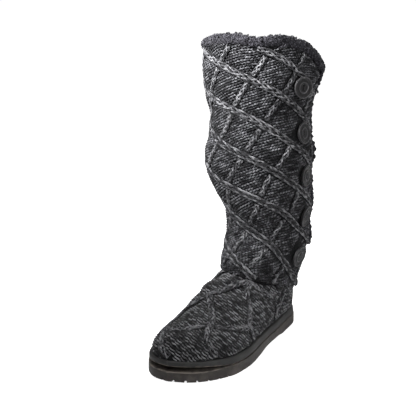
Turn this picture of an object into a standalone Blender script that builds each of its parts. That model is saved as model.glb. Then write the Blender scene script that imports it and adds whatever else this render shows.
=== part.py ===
"""Left knitted boot with a side flap: rubber outsole and foxing, insole, knitted foot and
shaft with plaited cables, fleece edge and five two-hole buttons. Metres, +Z up, toe
towards -Y, outer side towards +X, origin under the middle of the heel."""

import math
from collections import namedtuple

import bmesh
import bpy
from mathutils import Matrix, Vector

# Sole
SOLE_LENGTH = 0.275
BALL_WIDTH = 0.100
HEEL_WIDTH = 0.077
HEEL_REACH = 0.036          # origin to the back of the heel
OUTSOLE_THICK = 0.0115
FOXING_THICK = 0.0078
TOE_SPRING = 0.0012
ARCH_RISE = 0.0022
CREVICE = 0.0040            # gap between foxing and outsole at the toe
EDGE_ROUND = 0.0012
LUG_PITCH = 0.0125
LUG_GROOVE = 0.0024
LUG_DEPTH = 0.0022
LUG_LENGTH = 0.0120
LUG_START = 0.60            # place along the sole where the edge lugs begin
BAR_WIDTH = 0.0030
BAR_PITCH = 0.0150
BAR_COUNT = 4               # an even number, so that heel and forefoot rest between bars
FOREFOOT_REST = 0.69        # place along the sole of the forefoot's flat spot

# Foot
INSTEP_HEIGHT = 0.0775
FOXING_INSET = 0.0008       # sole edge to the foxing
FEATHER_INSET = 0.0022      # sole edge to the knit's widest line
UPPER_WALL = 0.0030
INSOLE_THICK = 0.0040

# Ankle seam, a sloped plane through the front of the ankle
SEAM_HEIGHT = 0.0750
SEAM_FORE = -0.0850
SEAM_RISE_FORE = -0.23      # height gained for each metre towards the heel
SEAM_RISE_SIDE = -0.22      # height gained for each metre towards the outer side

# Shaft
LEG_HEIGHT = 0.335
CALF_WIDTH = 0.120
CALF_DEPTH = 0.122
LAYER_GAP = 0.0016
FLAP_FLARE = 0.0125
UNDER_START = 72.0          # degrees round the leg from the front, outer side first
FLAP_END = 475.0
FLAP_LEAN = 15.0            # degrees that the flap's upper corner is turned back
FLAP_LIP = 0.0008           # how far the flap's free edge stands off the leg

# Cables
CABLE_HALF = 0.0044
CABLE_HEIGHT = 0.0015
FALL_PITCH = 0.0433         # height between falling cables
FALL_SLOPE = -0.50
FALL_START = 0.2935
RISE_PITCH = 0.0706
RISE_SLOPE = 1.45
RISE_START = 0.2633

# Fleece edge and buttons
FLEECE_WIDTH = 0.0042
FLEECE_HEIGHT = 0.0047
FLEECE_START = 126.0         # degrees round the wrap
PLACKET_RADIUS = 0.0034
PLACKET_FOOT = 0.098
LUMP_PITCH = 0.0110
LUMP_DEPTH = 0.14
BUTTON_RADIUS = 0.0121
BUTTON_THICK = 0.0031
HOLE_RADIUS = 0.0011
HOLE_SPACING = 0.0046
BUTTON_LIFT = 0.0003        # thread between flap and button

FIT_GAP = 0.0003

# Sole outline: place along the sole, half widths as shares of the local half width
Plan = namedtuple("Plan", "along medial lateral")
PLAN = (
    Plan(0.000, 0.00, 0.00), Plan(0.015, 0.45, 0.45), Plan(0.050, 0.76, 0.77),
    Plan(0.120, 0.96, 0.97), Plan(0.220, 1.01, 1.03), Plan(0.340, 0.96, 1.09),
    Plan(0.460, 0.84, 1.02), Plan(0.580, 0.88, 0.975), Plan(0.700, 0.96, 1.015),
    Plan(0.800, 0.965, 0.975), Plan(0.880, 0.85, 0.80), Plan(0.940, 0.66, 0.57),
    Plan(0.980, 0.41, 0.29), Plan(1.000, 0.10, -0.10),
)

# Foot: height of the ridge as a share of the instep, ridge shift as a share of the half
# ball width, roundness of the section, and how far the medial side is drawn in
Instep = namedtuple("Instep", "along ridge shift power drawn")
INSTEP = (
    Instep(0.000, 2.60, 0.00, 2.4, 1.00), Instep(0.131, 2.60, 0.00, 2.4, 1.00),
    Instep(0.240, 2.20, 0.02, 2.4, 1.00), Instep(0.313, 1.70, 0.00, 2.3, 0.99),
    Instep(0.385, 1.27, -0.02, 2.1, 0.98), Instep(0.460, 1.05, -0.04, 1.9, 0.97),
    Instep(0.505, 0.983, -0.04, 1.8, 0.97), Instep(0.550, 0.905, -0.04, 1.8, 0.97),
    Instep(0.600, 0.818, -0.04, 1.8, 0.97), Instep(0.650, 0.728, -0.04, 1.8, 0.97),
    Instep(0.700, 0.645, -0.04, 1.8, 0.97), Instep(0.750, 0.578, -0.04, 1.8, 0.965),
    Instep(0.800, 0.525, -0.04, 1.8, 0.96), Instep(0.850, 0.487, -0.04, 1.85, 0.95),
    Instep(0.905, 0.440, -0.04, 1.9, 0.94), Instep(0.945, 0.360, -0.05, 2.0, 0.94),
    Instep(0.975, 0.255, -0.06, 2.1, 0.95), Instep(0.990, 0.140, -0.08, 2.2, 0.96),
    Instep(1.000, 0.000, -0.10, 2.3, 1.00),
)

# Leg: place up the leg, centre as shares of the calf, half sizes as shares of its halves
Leg = namedtuple("Leg", "up side fore width depth twist")
LEG = (
    Leg(0.119, 0.030, -0.170, 0.590, 0.938, 0.033), Leg(0.173, 0.062, -0.190, 0.585, 1.003, 0.042),
    Leg(0.209, 0.082, -0.190, 0.600, 1.036, 0.042), Leg(0.251, 0.086, -0.165, 0.680, 1.052, 0.042),
    Leg(0.284, 0.090, -0.135, 0.706, 0.990, 0.033), Leg(0.316, 0.090, -0.105, 0.722, 0.935, 0.025),
    Leg(0.370, 0.084, -0.092, 0.700, 0.920, 0.017), Leg(0.424, 0.084, -0.096, 0.775, 0.938, 0.008),
    Leg(0.454, 0.060, -0.107, 0.830, 0.954, 0.008), Leg(0.504, 0.024, -0.123, 0.900, 0.987, 0.0),
    Leg(0.549, -0.002, -0.131, 0.950, 1.003, 0.0), Leg(0.603, 0.006, -0.139, 0.985, 1.020, 0.0),
    Leg(0.669, 0.009, -0.139, 0.915, 0.987, 0.0), Leg(0.728, 0.013, -0.139, 0.902, 0.987, 0.0),
    Leg(0.797, 0.000, -0.148, 0.965, 0.979, 0.0), Leg(0.881, -0.015, -0.148, 0.995, 0.979, 0.0),
    Leg(0.967, -0.028, -0.152, 0.948, 0.962, 0.0), Leg(1.030, -0.033, -0.156, 0.908, 0.938, 0.0),
)

# Knit rim under the fleece edge, as a share of the leg height, round the wrap in degrees
Rim = namedtuple("Rim", "turn height")
RIM = (
    Rim(72.0, 0.855), Rim(112.0, 0.865), Rim(124.0, 0.895), Rim(135.0, 0.912), Rim(150.0, 0.926),
    Rim(165.0, 0.936), Rim(180.0, 0.942), Rim(225.0, 0.946), Rim(270.0, 0.947), Rim(295.0, 0.950),
    Rim(320.0, 0.963), Rim(345.0, 0.975), Rim(362.0, 0.976), Rim(384.0, 0.966), Rim(405.0, 0.970),
    Rim(418.0, 0.966), Rim(430.0, 0.957), Rim(445.0, 0.945), Rim(460.0, 0.920), Rim(475.0, 0.885),
)

# Soft folds of the shaft: turn and height of the middle, half lengths both ways, slope
# of the fold, and how far it stands out, as a share of the calf width
Fold = namedtuple("Fold", "turn height across along slope out")
FOLDS = (
    Fold(372.0, 0.355, 62.0, 0.036, -0.0014, -0.036), Fold(365.0, 0.262, 70.0, 0.034, -0.0006, 0.016),
    Fold(385.0, 0.470, 58.0, 0.036, -0.0016, 0.014), Fold(330.0, 0.720, 60.0, 0.042, -0.0012, -0.012),
    Fold(190.0, 0.330, 60.0, 0.040, 0.0010, -0.030), Fold(200.0, 0.500, 70.0, 0.045, 0.0008, 0.014),
    Fold(150.0, 0.700, 60.0, 0.040, -0.0010, -0.014),
)

# Cables of the foot: start and end as turn round the foot (0 toe, 0.25 outer side) and rise
# (0 sole, 1 ankle seam)
FootCable = namedtuple("FootCable", "turn rise to_turn to_rise")
FOOT_CABLES = (
    FootCable(0.000, 0.04, -0.050, 0.27), FootCable(-0.050, 0.27, 0.037, 0.36),
    FootCable(0.037, 0.36, 0.175, 0.24), FootCable(0.175, 0.24, 0.248, 0.02),
    FootCable(0.080, 0.03, 0.047, 0.34), FootCable(0.047, 0.34, -0.013, 0.67),
    FootCable(0.205, 0.02, 0.175, 0.24), FootCable(0.175, 0.24, 0.057, 0.97),
    FootCable(0.326, 0.04, 0.286, 0.80), FootCable(-0.013, 0.67, 0.064, 0.90),
    FootCable(0.064, 0.90, 0.249, 0.62), FootCable(-0.050, 0.27, -0.175, 0.22),
    FootCable(-0.175, 0.22, -0.235, 0.02), FootCable(-0.013, 0.67, -0.085, 0.34),
    FootCable(-0.085, 0.34, -0.115, 0.03), FootCable(-0.057, 0.97, -0.180, 0.36),
    FootCable(-0.180, 0.36, -0.225, 0.03), FootCable(-0.326, 0.04, -0.286, 0.80),
    FootCable(0.440, 0.06, 0.405, 0.90), FootCable(-0.440, 0.06, -0.405, 0.90),
)

# Buttons down the flap: height as a share of the leg, turn round the wrap, and how far
# each is turned to the front and tipped back, in degrees
Button = namedtuple("Button", "height turn yaw tip")
BUTTONS = (
    Button(0.833, 436.0, 12.0, 0.0), Button(0.680, 441.0, 2.0, 3.0), Button(0.537, 446.0, 0.0, 0.0),
    Button(0.397, 448.0, 0.0, 0.0), Button(0.263, 447.0, 0.0, -4.0),
)

FOOT_LEVELS = (0.0, 0.05, 0.13, 0.24, 0.37, 0.50, 0.63, 0.75, 0.86, 0.94, 1.0)
FOOT_COLUMNS = 44
LINING_COLUMNS = 36
RING_POINTS = 88
SOLE_STATIONS = 26

SOLE_MIDDLE = HEEL_REACH - SOLE_LENGTH / 2
GIRTH = math.pi * (CALF_WIDTH + CALF_DEPTH) / 2
SHEET_FOOT = 0.18 * LEG_HEIGHT
SHEET_TOP = 0.97 * LEG_HEIGHT


def read_table(rows, at, column):
    """One column of a table at any place, on a smooth curve that keeps between its rows."""
    places = [row[0] for row in rows]
    values = [getattr(row, column) for row in rows]
    if at <= places[0]:
        return values[0]
    if at >= places[-1]:
        return values[-1]
    low = max(i for i in range(len(rows) - 1) if places[i] <= at)
    slopes = [(values[i + 1] - values[i]) / (places[i + 1] - places[i]) for i in range(len(rows) - 1)]

    def tangent(i):
        if i == 0 or i == len(rows) - 1:
            return slopes[min(i, len(slopes) - 1)]
        before, after = slopes[i - 1], slopes[i]
        if before * after <= 0:
            return 0.0
        return 2 * before * after / (before + after)

    span = places[low + 1] - places[low]
    s = (at - places[low]) / span
    start, end = values[low], values[low + 1]
    return (start * (1 + 2 * s) * (1 - s) ** 2 + end * s * s * (3 - 2 * s)
            + span * (tangent(low) * s * (1 - s) ** 2 - tangent(low + 1) * s * s * (1 - s)))


def ease(value, start, end):
    """0 before start, 1 after end, and a smooth step between them."""
    s = min(max((value - start) / (end - start), 0.0), 1.0)
    return s * s * (3 - 2 * s)


def ramp(value, start, end):
    """0 before start, 1 after end, and a straight rise between them."""
    return min(max((value - start) / (end - start), 0.0), 1.0)


def mix(a, b, share):
    return a + (b - a) * share


def along_of(y):
    return (HEEL_REACH - y) / SOLE_LENGTH


def plan_half(along, side):
    """Half width of the sole on the medial side (-1) or the outer side (1)."""
    column = "medial" if side < 0 else "lateral"
    width = mix(HEEL_WIDTH, BALL_WIDTH, ease(along, 0.30, 0.65))
    return read_table(PLAN, along, column) * width / 2


def spring(along):
    return TOE_SPRING * ramp(along, 0.84, 1.0) ** 2


def arch(along):
    return ARCH_RISE * ease(along, 0.26, 0.34) * (1 - ease(along, 0.48, 0.58))


def outsole_top(along):
    return OUTSOLE_THICK + spring(along)


def crevice(along):
    return CREVICE * ease(along, 0.80, 0.98)


def foxing_top(along):
    return outsole_top(along) + FIT_GAP + FOXING_THICK + 0.4 * crevice(along)


def knit_foot(along):
    return foxing_top(along) + FIT_GAP


def ridge_height(along):
    rise = INSTEP_HEIGHT - knit_foot(0)
    return knit_foot(along) + read_table(INSTEP, along, "ridge") * rise


def seam_height(y):
    return SEAM_HEIGHT + SEAM_RISE_FORE * (y - SEAM_FORE)


def slice_height(along, rise):
    low = knit_foot(along)
    return mix(low, seam_height(HEEL_REACH - along * SOLE_LENGTH), rise)


def slice_half(along, rise, side):
    """Where the foot's section at one place is cut by the slice at one rise."""
    height = slice_height(along, rise) - knit_foot(along)
    share = min(max(height / max(ridge_height(along) - knit_foot(along), 1e-6), 0.0), 1.0)
    power = read_table(INSTEP, along, "power")
    tuck = 1 - 0.045 * (1 - ramp(share, 0.0, 0.16)) ** 2
    if side < 0:
        tuck *= read_table(INSTEP, along, "drawn")
    half = plan_half(along, side) * (1 - FEATHER_INSET / (BALL_WIDTH / 2)) * tuck
    shift = read_table(INSTEP, along, "shift") * share * BALL_WIDTH / 2
    return side * half * (1 - share ** power) ** (1 / power) + shift


def slice_front(rise):
    """Foremost place of the slice, where its height meets the ridge."""
    if rise <= 0:
        return 1.0
    low, high = 0.40, 1.0
    for _ in range(40):
        middle = (low + high) / 2
        if ridge_height(middle) > slice_height(middle, rise):
            low = middle
        else:
            high = middle
    return low


def even_ring(points, count):
    """Points at even steps round a closed line, from its first point."""
    loop = list(points) + [points[0]]
    lengths = [0.0]
    for a, b in zip(loop, loop[1:]):
        lengths.append(lengths[-1] + (b - a).length)
    ring = []
    step = 0
    for i in range(count):
        target = lengths[-1] * i / count
        while lengths[step + 1] < target:
            step += 1
        part = (target - lengths[step]) / max(lengths[step + 1] - lengths[step], 1e-9)
        ring.append(loop[step].lerp(loop[step + 1], part))
    return ring


def foot_slice(rise, count):
    """Closed line round the foot, from the toe round the outer side and the heel."""
    front = slice_front(rise)
    stations = [front * (1 - math.cos(math.pi * j / 60)) / 2 for j in range(61)]
    outer = []
    inner = []
    for along in stations:
        y = SOLE_MIDDLE + (HEEL_REACH - along * SOLE_LENGTH - SOLE_MIDDLE) * (
            1 - 2 * FEATHER_INSET / SOLE_LENGTH)
        for side, line in ((1, outer), (-1, inner)):
            x = slice_half(along, rise, side)
            z = slice_height(along, rise) + SEAM_RISE_SIDE * x * rise * rise
            line.append(Vector((x, y, z)))
    return even_ring(list(reversed(outer)) + inner[1:-1], count)


def leg_frame(turn, z):
    """Point of the leg's outline and its level outward direction."""
    up = z / LEG_HEIGHT
    angle = math.radians(turn)
    width = read_table(LEG, up, "width") * CALF_WIDTH / 2
    depth = read_table(LEG, up, "depth") * CALF_DEPTH / 2
    twist = read_table(LEG, up, "twist") * CALF_WIDTH
    x = read_table(LEG, up, "side") * CALF_WIDTH + width * math.sin(angle) - twist * math.cos(angle)
    y = read_table(LEG, up, "fore") * CALF_DEPTH - depth * math.cos(angle)
    out = Vector((depth * math.sin(angle), -(width * math.cos(angle) + twist * math.sin(angle)), 0))
    return Vector((x, y, z)), out.normalized()


def seam_point(turn, offset):
    """Point of the leg's outline on the ankle seam, moved out by the offset."""
    z = SEAM_HEIGHT
    for _ in range(8):
        point, out = leg_frame(turn, z)
        point += out * offset
        z = seam_height(point.y) + SEAM_RISE_SIDE * point.x
    return Vector((point.x, point.y, z))


def throat_ring(count, offset, start):
    """Closed line round the ankle seam, from the point nearest to start."""
    dense = [seam_point(360 * i / 240, offset) for i in range(240)]
    first = min(range(240), key=lambda i: (dense[i] - start).length)
    return even_ring(dense[first:] + dense[:first], count)


def foot_ring(rise, count):
    """Slice of the foot that turns into the ankle seam near its top."""
    ring = foot_slice(rise, count)
    share = ease(rise, 0.70, 1.0)
    if share <= 0:
        return ring
    throat = throat_ring(count, -0.4 * UPPER_WALL, foot_slice(1.0, count)[0])
    return [a.lerp(b, share) for a, b in zip(ring, throat)]


def fold_out(turn, up):
    """How far the soft folds push the shaft out at one place."""
    total = 0.0
    for fold in FOLDS:
        across = (turn - fold.turn) / fold.across
        along = (up - fold.height - fold.slope * (turn - fold.turn)) / fold.along
        total += fold.out * math.exp(-across * across - along * along)
    return total * CALF_WIDTH


def shaft_height(turn, v, offset):
    """Height of the sheet's line v, from the ankle seam to the rim."""
    rim = read_table(RIM, turn, "height") * LEG_HEIGHT
    bow = 0.015 * LEG_HEIGHT * math.cos(math.radians(2 * (turn - 25)))
    low = 1 - ramp(v, SHEET_FOOT, 0.33 * LEG_HEIGHT)
    high = ramp(v, 0.80 * LEG_HEIGHT, SHEET_TOP)
    height = v + bow * (1 - low) * (1 - high) + high * (rim - SHEET_TOP)
    if low > 0:
        height += low * (seam_point(turn, offset).z + FIT_GAP - SHEET_FOOT)
    return height


def shaft_point(u, v, depth):
    """Point of the shaft, wrapped from the under layer to the flap's free edge."""
    turn = 360 * u / GIRTH
    under = 1 - ease(turn, 126, 152)
    lip = FLAP_LIP * ramp(turn, 450, FLAP_END)
    offset = lip - under * (UPPER_WALL + LAYER_GAP) - depth
    z = shaft_height(turn, v, offset)
    up = z / LEG_HEIGHT
    lean = FLAP_LEAN * ramp(turn, 405, FLAP_END) ** 2 * ease(up, 0.76, 0.90)
    flare = FLAP_FLARE * ramp(turn, 415, FLAP_END) ** 1.6 * ease(up, 0.76, 0.91)
    sag = fold_out(turn, up) * ease(v, SHEET_FOOT, SHEET_FOOT + 0.02)
    point, out = leg_frame(turn - lean, z)
    return point + out * (offset + flare + sag)


def sheet_line(turn, z):
    """Line of the shaft's sheet that lies at a height."""
    low, high = SHEET_FOOT, SHEET_TOP
    for _ in range(30):
        middle = (low + high) / 2
        if shaft_height(turn, middle, 0) < z:
            low = middle
        else:
            high = middle
    return low


def button_clear(u, v):
    """0 under a button and 1 well away from it."""
    nearest = min(math.hypot(u - place[0], v - place[1]) for place in BUTTON_PLACES)
    return ramp(nearest, 1.15 * BUTTON_RADIUS, 1.6 * BUTTON_RADIUS)


def cable_relief(u, v):
    """Height of the plaited cables above the ground knit at one place of the sheet."""
    place = u - GIRTH
    fall = v - FALL_START - FALL_SLOPE * place
    rise = v - RISE_START - RISE_SLOPE * place
    fall_off = abs(fall - FALL_PITCH * round(fall / FALL_PITCH)) / math.hypot(1, FALL_SLOPE)
    rise_off = abs(rise - RISE_PITCH * round(rise / RISE_PITCH)) / math.hypot(1, RISE_SLOPE)
    falling = max(0.0, 1 - fall_off / CABLE_HALF)
    rising = max(0.0, 1 - rise_off / (0.85 * CABLE_HALF))
    rising *= mix(0.4, 0.9, ramp(fall_off, CABLE_HALF, 3 * CABLE_HALF))
    shown = ramp(360 * u / GIRTH, 118, 128) * button_clear(u, v)
    return CABLE_HEIGHT * max(falling, rising) * shown


BUTTON_PLACES = [(b.turn * GIRTH / 360, sheet_line(b.turn, b.height * LEG_HEIGHT)) for b in BUTTONS]
FOOT_RINGS = [foot_ring(level / 40, RING_POINTS) for level in range(41)]


def foot_grid(turn, rise):
    """Point of the foot's outer form between the worked-out rings."""
    level = min(max(rise, 0.0), 1.0) * 40
    row = min(int(level), 39)
    place = (turn % 1.0) * RING_POINTS
    column = int(place) % RING_POINTS
    beside = (column + 1) % RING_POINTS
    low = FOOT_RINGS[row][column].lerp(FOOT_RINGS[row][beside], place - int(place))
    high = FOOT_RINGS[row + 1][column].lerp(FOOT_RINGS[row + 1][beside], place - int(place))
    return low.lerp(high, level - row)


def foot_steps(turn, rise):
    """Change of the foot's point for a whole turn and a whole rise."""
    across = foot_grid(turn + 0.01, rise) - foot_grid(turn - 0.01, rise)
    low, high = max(rise - 0.03, 0.0), min(rise + 0.03, 1.0)
    along = foot_grid(turn, high) - foot_grid(turn, low)
    return across / 0.02, along / (high - low)


def foot_point(turn, rise, depth):
    """Point of the foot's wall; its ends stay flat on the sole and on the seam."""
    across, along = foot_steps(turn, rise)
    out = across.cross(along).normalized()
    out.z *= ramp(rise, 0.0, 0.01) * ramp(1 - rise, 0.05, 0.35)
    point = foot_grid(turn, rise) - out.normalized() * depth
    if rise >= 1:
        point.z = seam_height(point.y) + SEAM_RISE_SIDE * point.x
    if rise <= 0:
        point.z = knit_foot(along_of(point.y))
    return point


def cable_half_step(turn, rise, direction):
    """Half the cable's width, square to its direction, as a step in turn and rise."""
    across, along = foot_steps(turn, rise)
    line = across * direction[0] + along * direction[1]
    square = across.cross(along).cross(line).normalized() * CABLE_HALF
    aa, ab, bb = across.dot(across), across.dot(along), along.dot(along)
    sa, sb = square.dot(across), square.dot(along)
    scale = aa * bb - ab * ab
    return Vector(((sa * bb - sb * ab) / scale, (sb * aa - sa * ab) / scale))


def foot_strips():
    """Each foot cable as its two ends and its half widths at them, in turn and rise."""
    strips = []
    for cable in FOOT_CABLES:
        start = Vector((cable.turn, cable.rise))
        end = Vector((cable.to_turn, cable.to_rise))
        way = end - start
        strips.append((start, end, cable_half_step(start.x, start.y, way), cable_half_step(end.x, end.y, way)))
    return strips


FOOT_STRIPS = foot_strips()


def foot_relief(turn, rise):
    """Height of the foot's cables at one place."""
    height = 0.0
    for start, end, half_start, half_end in FOOT_STRIPS:
        way = end - start
        gone = Vector((turn, rise)) - start
        share = gone.dot(way) / way.dot(way)
        if -0.02 < share < 1.02:
            half = half_start.lerp(half_end, share)
            off = (way.x * gone.y - way.y * gone.x) / (way.x * half.y - way.y * half.x)
            height = max(height, 1 - abs(off))
    return CABLE_HEIGHT * height * ramp(rise, 0.0, 0.06) * ramp(1 - rise, 0.0, 0.06)


# Mesh making


def clear_scene():
    for item in list(bpy.data.objects):
        bpy.data.objects.remove(item, do_unlink=True)


def new_collection(name):
    collection = bpy.data.collections.new(name)
    bpy.context.scene.collection.children.link(collection)
    return collection


def finish(name, colour, roughness):
    """One plain material for a piece."""
    material = bpy.data.materials.new(name)
    material.use_nodes = True
    shader = material.node_tree.nodes["Principled BSDF"]
    shader.inputs["Base Color"].default_value = (*colour, 1)
    shader.inputs["Roughness"].default_value = roughness
    shader.inputs["Metallic"].default_value = 0.0
    return material


def add_object(name, bm, collection, material):
    """Object from a closed bmesh, faces turned outwards."""
    bmesh.ops.triangulate(bm, faces=bm.faces[:])
    bmesh.ops.recalc_face_normals(bm, faces=bm.faces[:])
    mesh = bpy.data.meshes.new(name)
    bm.to_mesh(mesh)
    bm.free()
    item = bpy.data.objects.new(name, mesh)
    collection.objects.link(item)
    if material:
        mesh.materials.append(material)
    return item


def edge_point(along, side, inset, half):
    """Point of a sole outline, moved in square to the outline."""
    def place(at, way):
        if at < 0 or at > 1:
            at, way = (-at if at < 0 else 2 - at), -way
        return Vector((way * half(at, way), HEEL_REACH - at * SOLE_LENGTH))

    ahead = place(along + 0.003, side)
    behind = place(along - 0.003, side)
    way = (ahead - behind).normalized()
    return place(along, side) + side * inset * Vector((way.y, -way.x))


def sole_slab(bands, half):
    """Closed slab between lines round the sole; each band is an inset and a height."""
    bm = bmesh.new()
    count = SOLE_STATIONS
    stations = [(1 - math.cos(math.pi * j / count)) / 2 for j in range(count + 1)]
    trail = [(a, 1) for a in stations] + [(a, -1) for a in reversed(stations[1:-1])]
    rings = []
    for inset, height in bands:
        ring = []
        for along, side in trail:
            flat = edge_point(along, side, inset, half)
            ring.append(bm.verts.new((flat.x, flat.y, height(along_of(flat.y)))))
        rings.append(ring)
    total = len(trail)
    for low, high in zip(rings, rings[1:]):
        for i in range(total):
            bm.faces.new((low[i], low[(i + 1) % total], high[(i + 1) % total], high[i]))
    for ring in (rings[0], rings[-1]):
        for j in range(count):
            corners = [ring[j], ring[j + 1], ring[(total - j - 1) % total], ring[(total - j) % total]]
            bm.faces.new(list(dict.fromkeys(corners)))
    return bm


def join_lines(bm, line, other, key):
    """Triangles between two lines of points, each with its own number of them."""
    i = j = 0
    while i < len(line) - 1 or j < len(other) - 1:
        step_line = j == len(other) - 1 or (i < len(line) - 1 and key[line[i + 1]] <= key[other[j + 1]])
        if step_line:
            bm.faces.new((line[i], line[i + 1], other[j]))
            i += 1
        else:
            bm.faces.new((line[i], other[j + 1], other[j]))
            j += 1


def border(bm, places, axis, value, along):
    """Points of a flat sheet on one of its edges, in order."""
    chosen = [v for v in places if abs(places[v][axis] - value) < 1e-6]
    return sorted(chosen, key=lambda v: places[v][along])


def wall_from_sheet(sheet, outer, inner, columns, rows, ring):
    """Closed wall: a cut flat sheet laid on the outer form, a plain grid on the inner one.
    A ring's first and last columns meet, and other sheets get a rim there."""
    places = {v: (v.co.x, v.co.y) for v in sheet.verts}
    grid = {}
    for i, x in enumerate(columns):
        for j, y in enumerate(rows):
            vert = sheet.verts.new((x, y, 0))
            grid[i, j] = vert
    for i in range(len(columns) - 1):
        for j in range(len(rows) - 1):
            sheet.faces.new((grid[i, j], grid[i, j + 1], grid[i + 1, j + 1], grid[i + 1, j]))
    lining = {vert: (columns[i], rows[j]) for (i, j), vert in grid.items()}
    rims = [(1, rows[0]), (1, rows[-1])]
    if not ring:
        rims += [(0, columns[0]), (0, columns[-1])]
    for axis, value in rims:
        line = border(sheet, places, axis, value, 1 - axis)
        other = border(sheet, lining, axis, value, 1 - axis)
        key = {v: places[v][1 - axis] for v in line}
        key.update({v: lining[v][1 - axis] for v in other})
        join_lines(sheet, line, other, key)
    for vert, (x, y) in places.items():
        vert.co = outer(x, y)
    for vert, (x, y) in lining.items():
        vert.co = inner(x, y)
    if ring:
        bmesh.ops.remove_doubles(sheet, verts=sheet.verts[:], dist=1e-6)
    return sheet


def flat_sheet(columns, rows):
    """Flat grid between the given columns and rows."""
    bm = bmesh.new()
    grid = [[bm.verts.new((x, y, 0)) for y in rows] for x in columns]
    for left, right in zip(grid, grid[1:]):
        for j in range(len(rows) - 1):
            bm.faces.new((left[j], right[j], right[j + 1], left[j + 1]))
    return bm


def cut_sheet(bm, start, end, whole):
    """Cut the flat sheet along a line, all of it or only where the line's length runs."""
    way = (end - start).normalized()
    square = Vector((-way.y, way.x))
    length = (end - start).length
    faces = []
    for face in bm.faces:
        gone = [Vector((v.co.x, v.co.y)) - start for v in face.verts]
        sides = [g.dot(square) for g in gone]
        lengths = [g.dot(way) for g in gone]
        crosses = min(sides) < -1e-7 and max(sides) > 1e-7
        if crosses and (whole or (max(lengths) > 0 and min(lengths) < length)):
            faces.append(face)
    edges = {edge for face in faces for edge in face.edges}
    verts = {vert for face in faces for vert in face.verts}
    bmesh.ops.bisect_plane(bm, geom=faces + list(edges) + list(verts), dist=1e-7,
                           plane_co=(start.x, start.y, 0), plane_no=(square.x, square.y, 0))


def lattice_cuts(bm, start, slope, pitch, half, low, high):
    """Cut both edges, the crown and the middle between neighbours of one set of cables."""
    step = half * math.hypot(1, slope)
    reach = [v - start - slope * (u - GIRTH) for u in low for v in high]
    first, last = math.floor(min(reach) / pitch), math.ceil(max(reach) / pitch)
    for number in range(first, last + 1):
        for shift in (-step, 0.0, step, pitch / 2):
            line = start + number * pitch + shift
            a = Vector((low[0], line + slope * (low[0] - GIRTH)))
            b = Vector((low[1], line + slope * (low[1] - GIRTH)))
            cut_sheet(bm, a, b, True)


def even_steps(low, high, count):
    return [low + (high - low) * i / count for i in range(count + 1)]


def make_shaft(collection, material):
    """Knitted leg: one sheet wrapped round, with raised cables and the flap's overlap."""
    ends = (UNDER_START * GIRTH / 360, FLAP_END * GIRTH / 360)
    sheet = flat_sheet(ends, (SHEET_FOOT, SHEET_TOP))
    limits = (SHEET_FOOT, SHEET_TOP)
    lattice_cuts(sheet, FALL_START, FALL_SLOPE, FALL_PITCH, CABLE_HALF, ends, limits)
    lattice_cuts(sheet, RISE_START, RISE_SLOPE, RISE_PITCH, 0.85 * CABLE_HALF, ends, limits)
    bmesh.ops.triangulate(sheet, faces=sheet.faces[:])

    def outer(u, v):
        return shaft_point(u, v, -cable_relief(u, v))

    def inner(u, v):
        return shaft_point(u, v, UPPER_WALL)

    wall = wall_from_sheet(sheet, outer, inner, even_steps(*ends, 44), even_steps(*limits, 11), False)
    return add_object("shaft", wall, collection, material)


def make_foot(collection, material):
    """Knitted foot, open under the sole and at the ankle seam, with raised cables."""
    sheet = flat_sheet(even_steps(-0.5, 0.5, FOOT_COLUMNS), FOOT_LEVELS)
    for start, end, half_start, half_end in FOOT_STRIPS:
        for share in (-1, 0, 1):
            cut_sheet(sheet, start + share * half_start, end + share * half_end, False)
    bmesh.ops.triangulate(sheet, faces=sheet.faces[:])

    def outer(turn, rise):
        return foot_point(turn, rise, -foot_relief(turn, rise))

    def inner(turn, rise):
        return foot_point(turn, rise, UPPER_WALL)

    wall = wall_from_sheet(sheet, outer, inner, even_steps(-0.5, 0.5, LINING_COLUMNS), FOOT_LEVELS, True)
    return add_object("foot_upper", wall, collection, material)


def lug_outline():
    """Sole outline from the outer ball round the toe to the medial ball, as points."""
    stations = even_steps(LUG_START, 1.0, 60)
    trail = [(a, 1) for a in stations] + [(a, -1) for a in reversed(stations[:-1])]
    return [edge_point(along, side, 0.0, plan_half) for along, side in trail]


def add_bar(bm, centre, way, length, width, depth):
    """Upright box for a groove, its length along a level direction."""
    turn = Matrix.Rotation(math.atan2(way.y, way.x), 4, "Z")
    size = Matrix.Diagonal((length, width, depth, 1))
    bmesh.ops.create_cube(bm, size=1, matrix=Matrix.Translation(centre) @ turn @ size)


def make_tread_cutter(collection):
    """Grooves between the edge lugs and across the middle of heel and forefoot."""
    bm = bmesh.new()
    points = lug_outline()
    gone = LUG_PITCH / 2
    for a, b in zip(points, points[1:]):
        step = (b - a).length
        while gone < step:
            spot = a.lerp(b, gone / step)
            way = (b - a).normalized()
            inward = Vector((way.y, -way.x))
            middle = spot + inward * (LUG_LENGTH / 2 - EDGE_ROUND)
            bottom = spring(along_of(spot.y))
            add_bar(bm, Vector((middle.x, middle.y, bottom)), inward, LUG_LENGTH, LUG_GROOVE, 2 * LUG_DEPTH)
            gone += LUG_PITCH
        gone -= step
    for centre in (0.0, HEEL_REACH - FOREFOOT_REST * SOLE_LENGTH):
        for i in range(BAR_COUNT):
            y = centre + (i - (BAR_COUNT - 1) / 2) * BAR_PITCH
            left = -plan_half(along_of(y), -1) + LUG_LENGTH + EDGE_ROUND
            right = plan_half(along_of(y), 1) - LUG_LENGTH - EDGE_ROUND
            middle = Vector(((left + right) / 2, y, 0))
            add_bar(bm, middle, Vector((1, 0)), right - left, BAR_WIDTH, 2 * LUG_DEPTH)
    cutter = add_object("tread_cutter", bm, collection, None)
    cutter.hide_render = True
    cutter.display_type = "WIRE"
    return cutter


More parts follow.
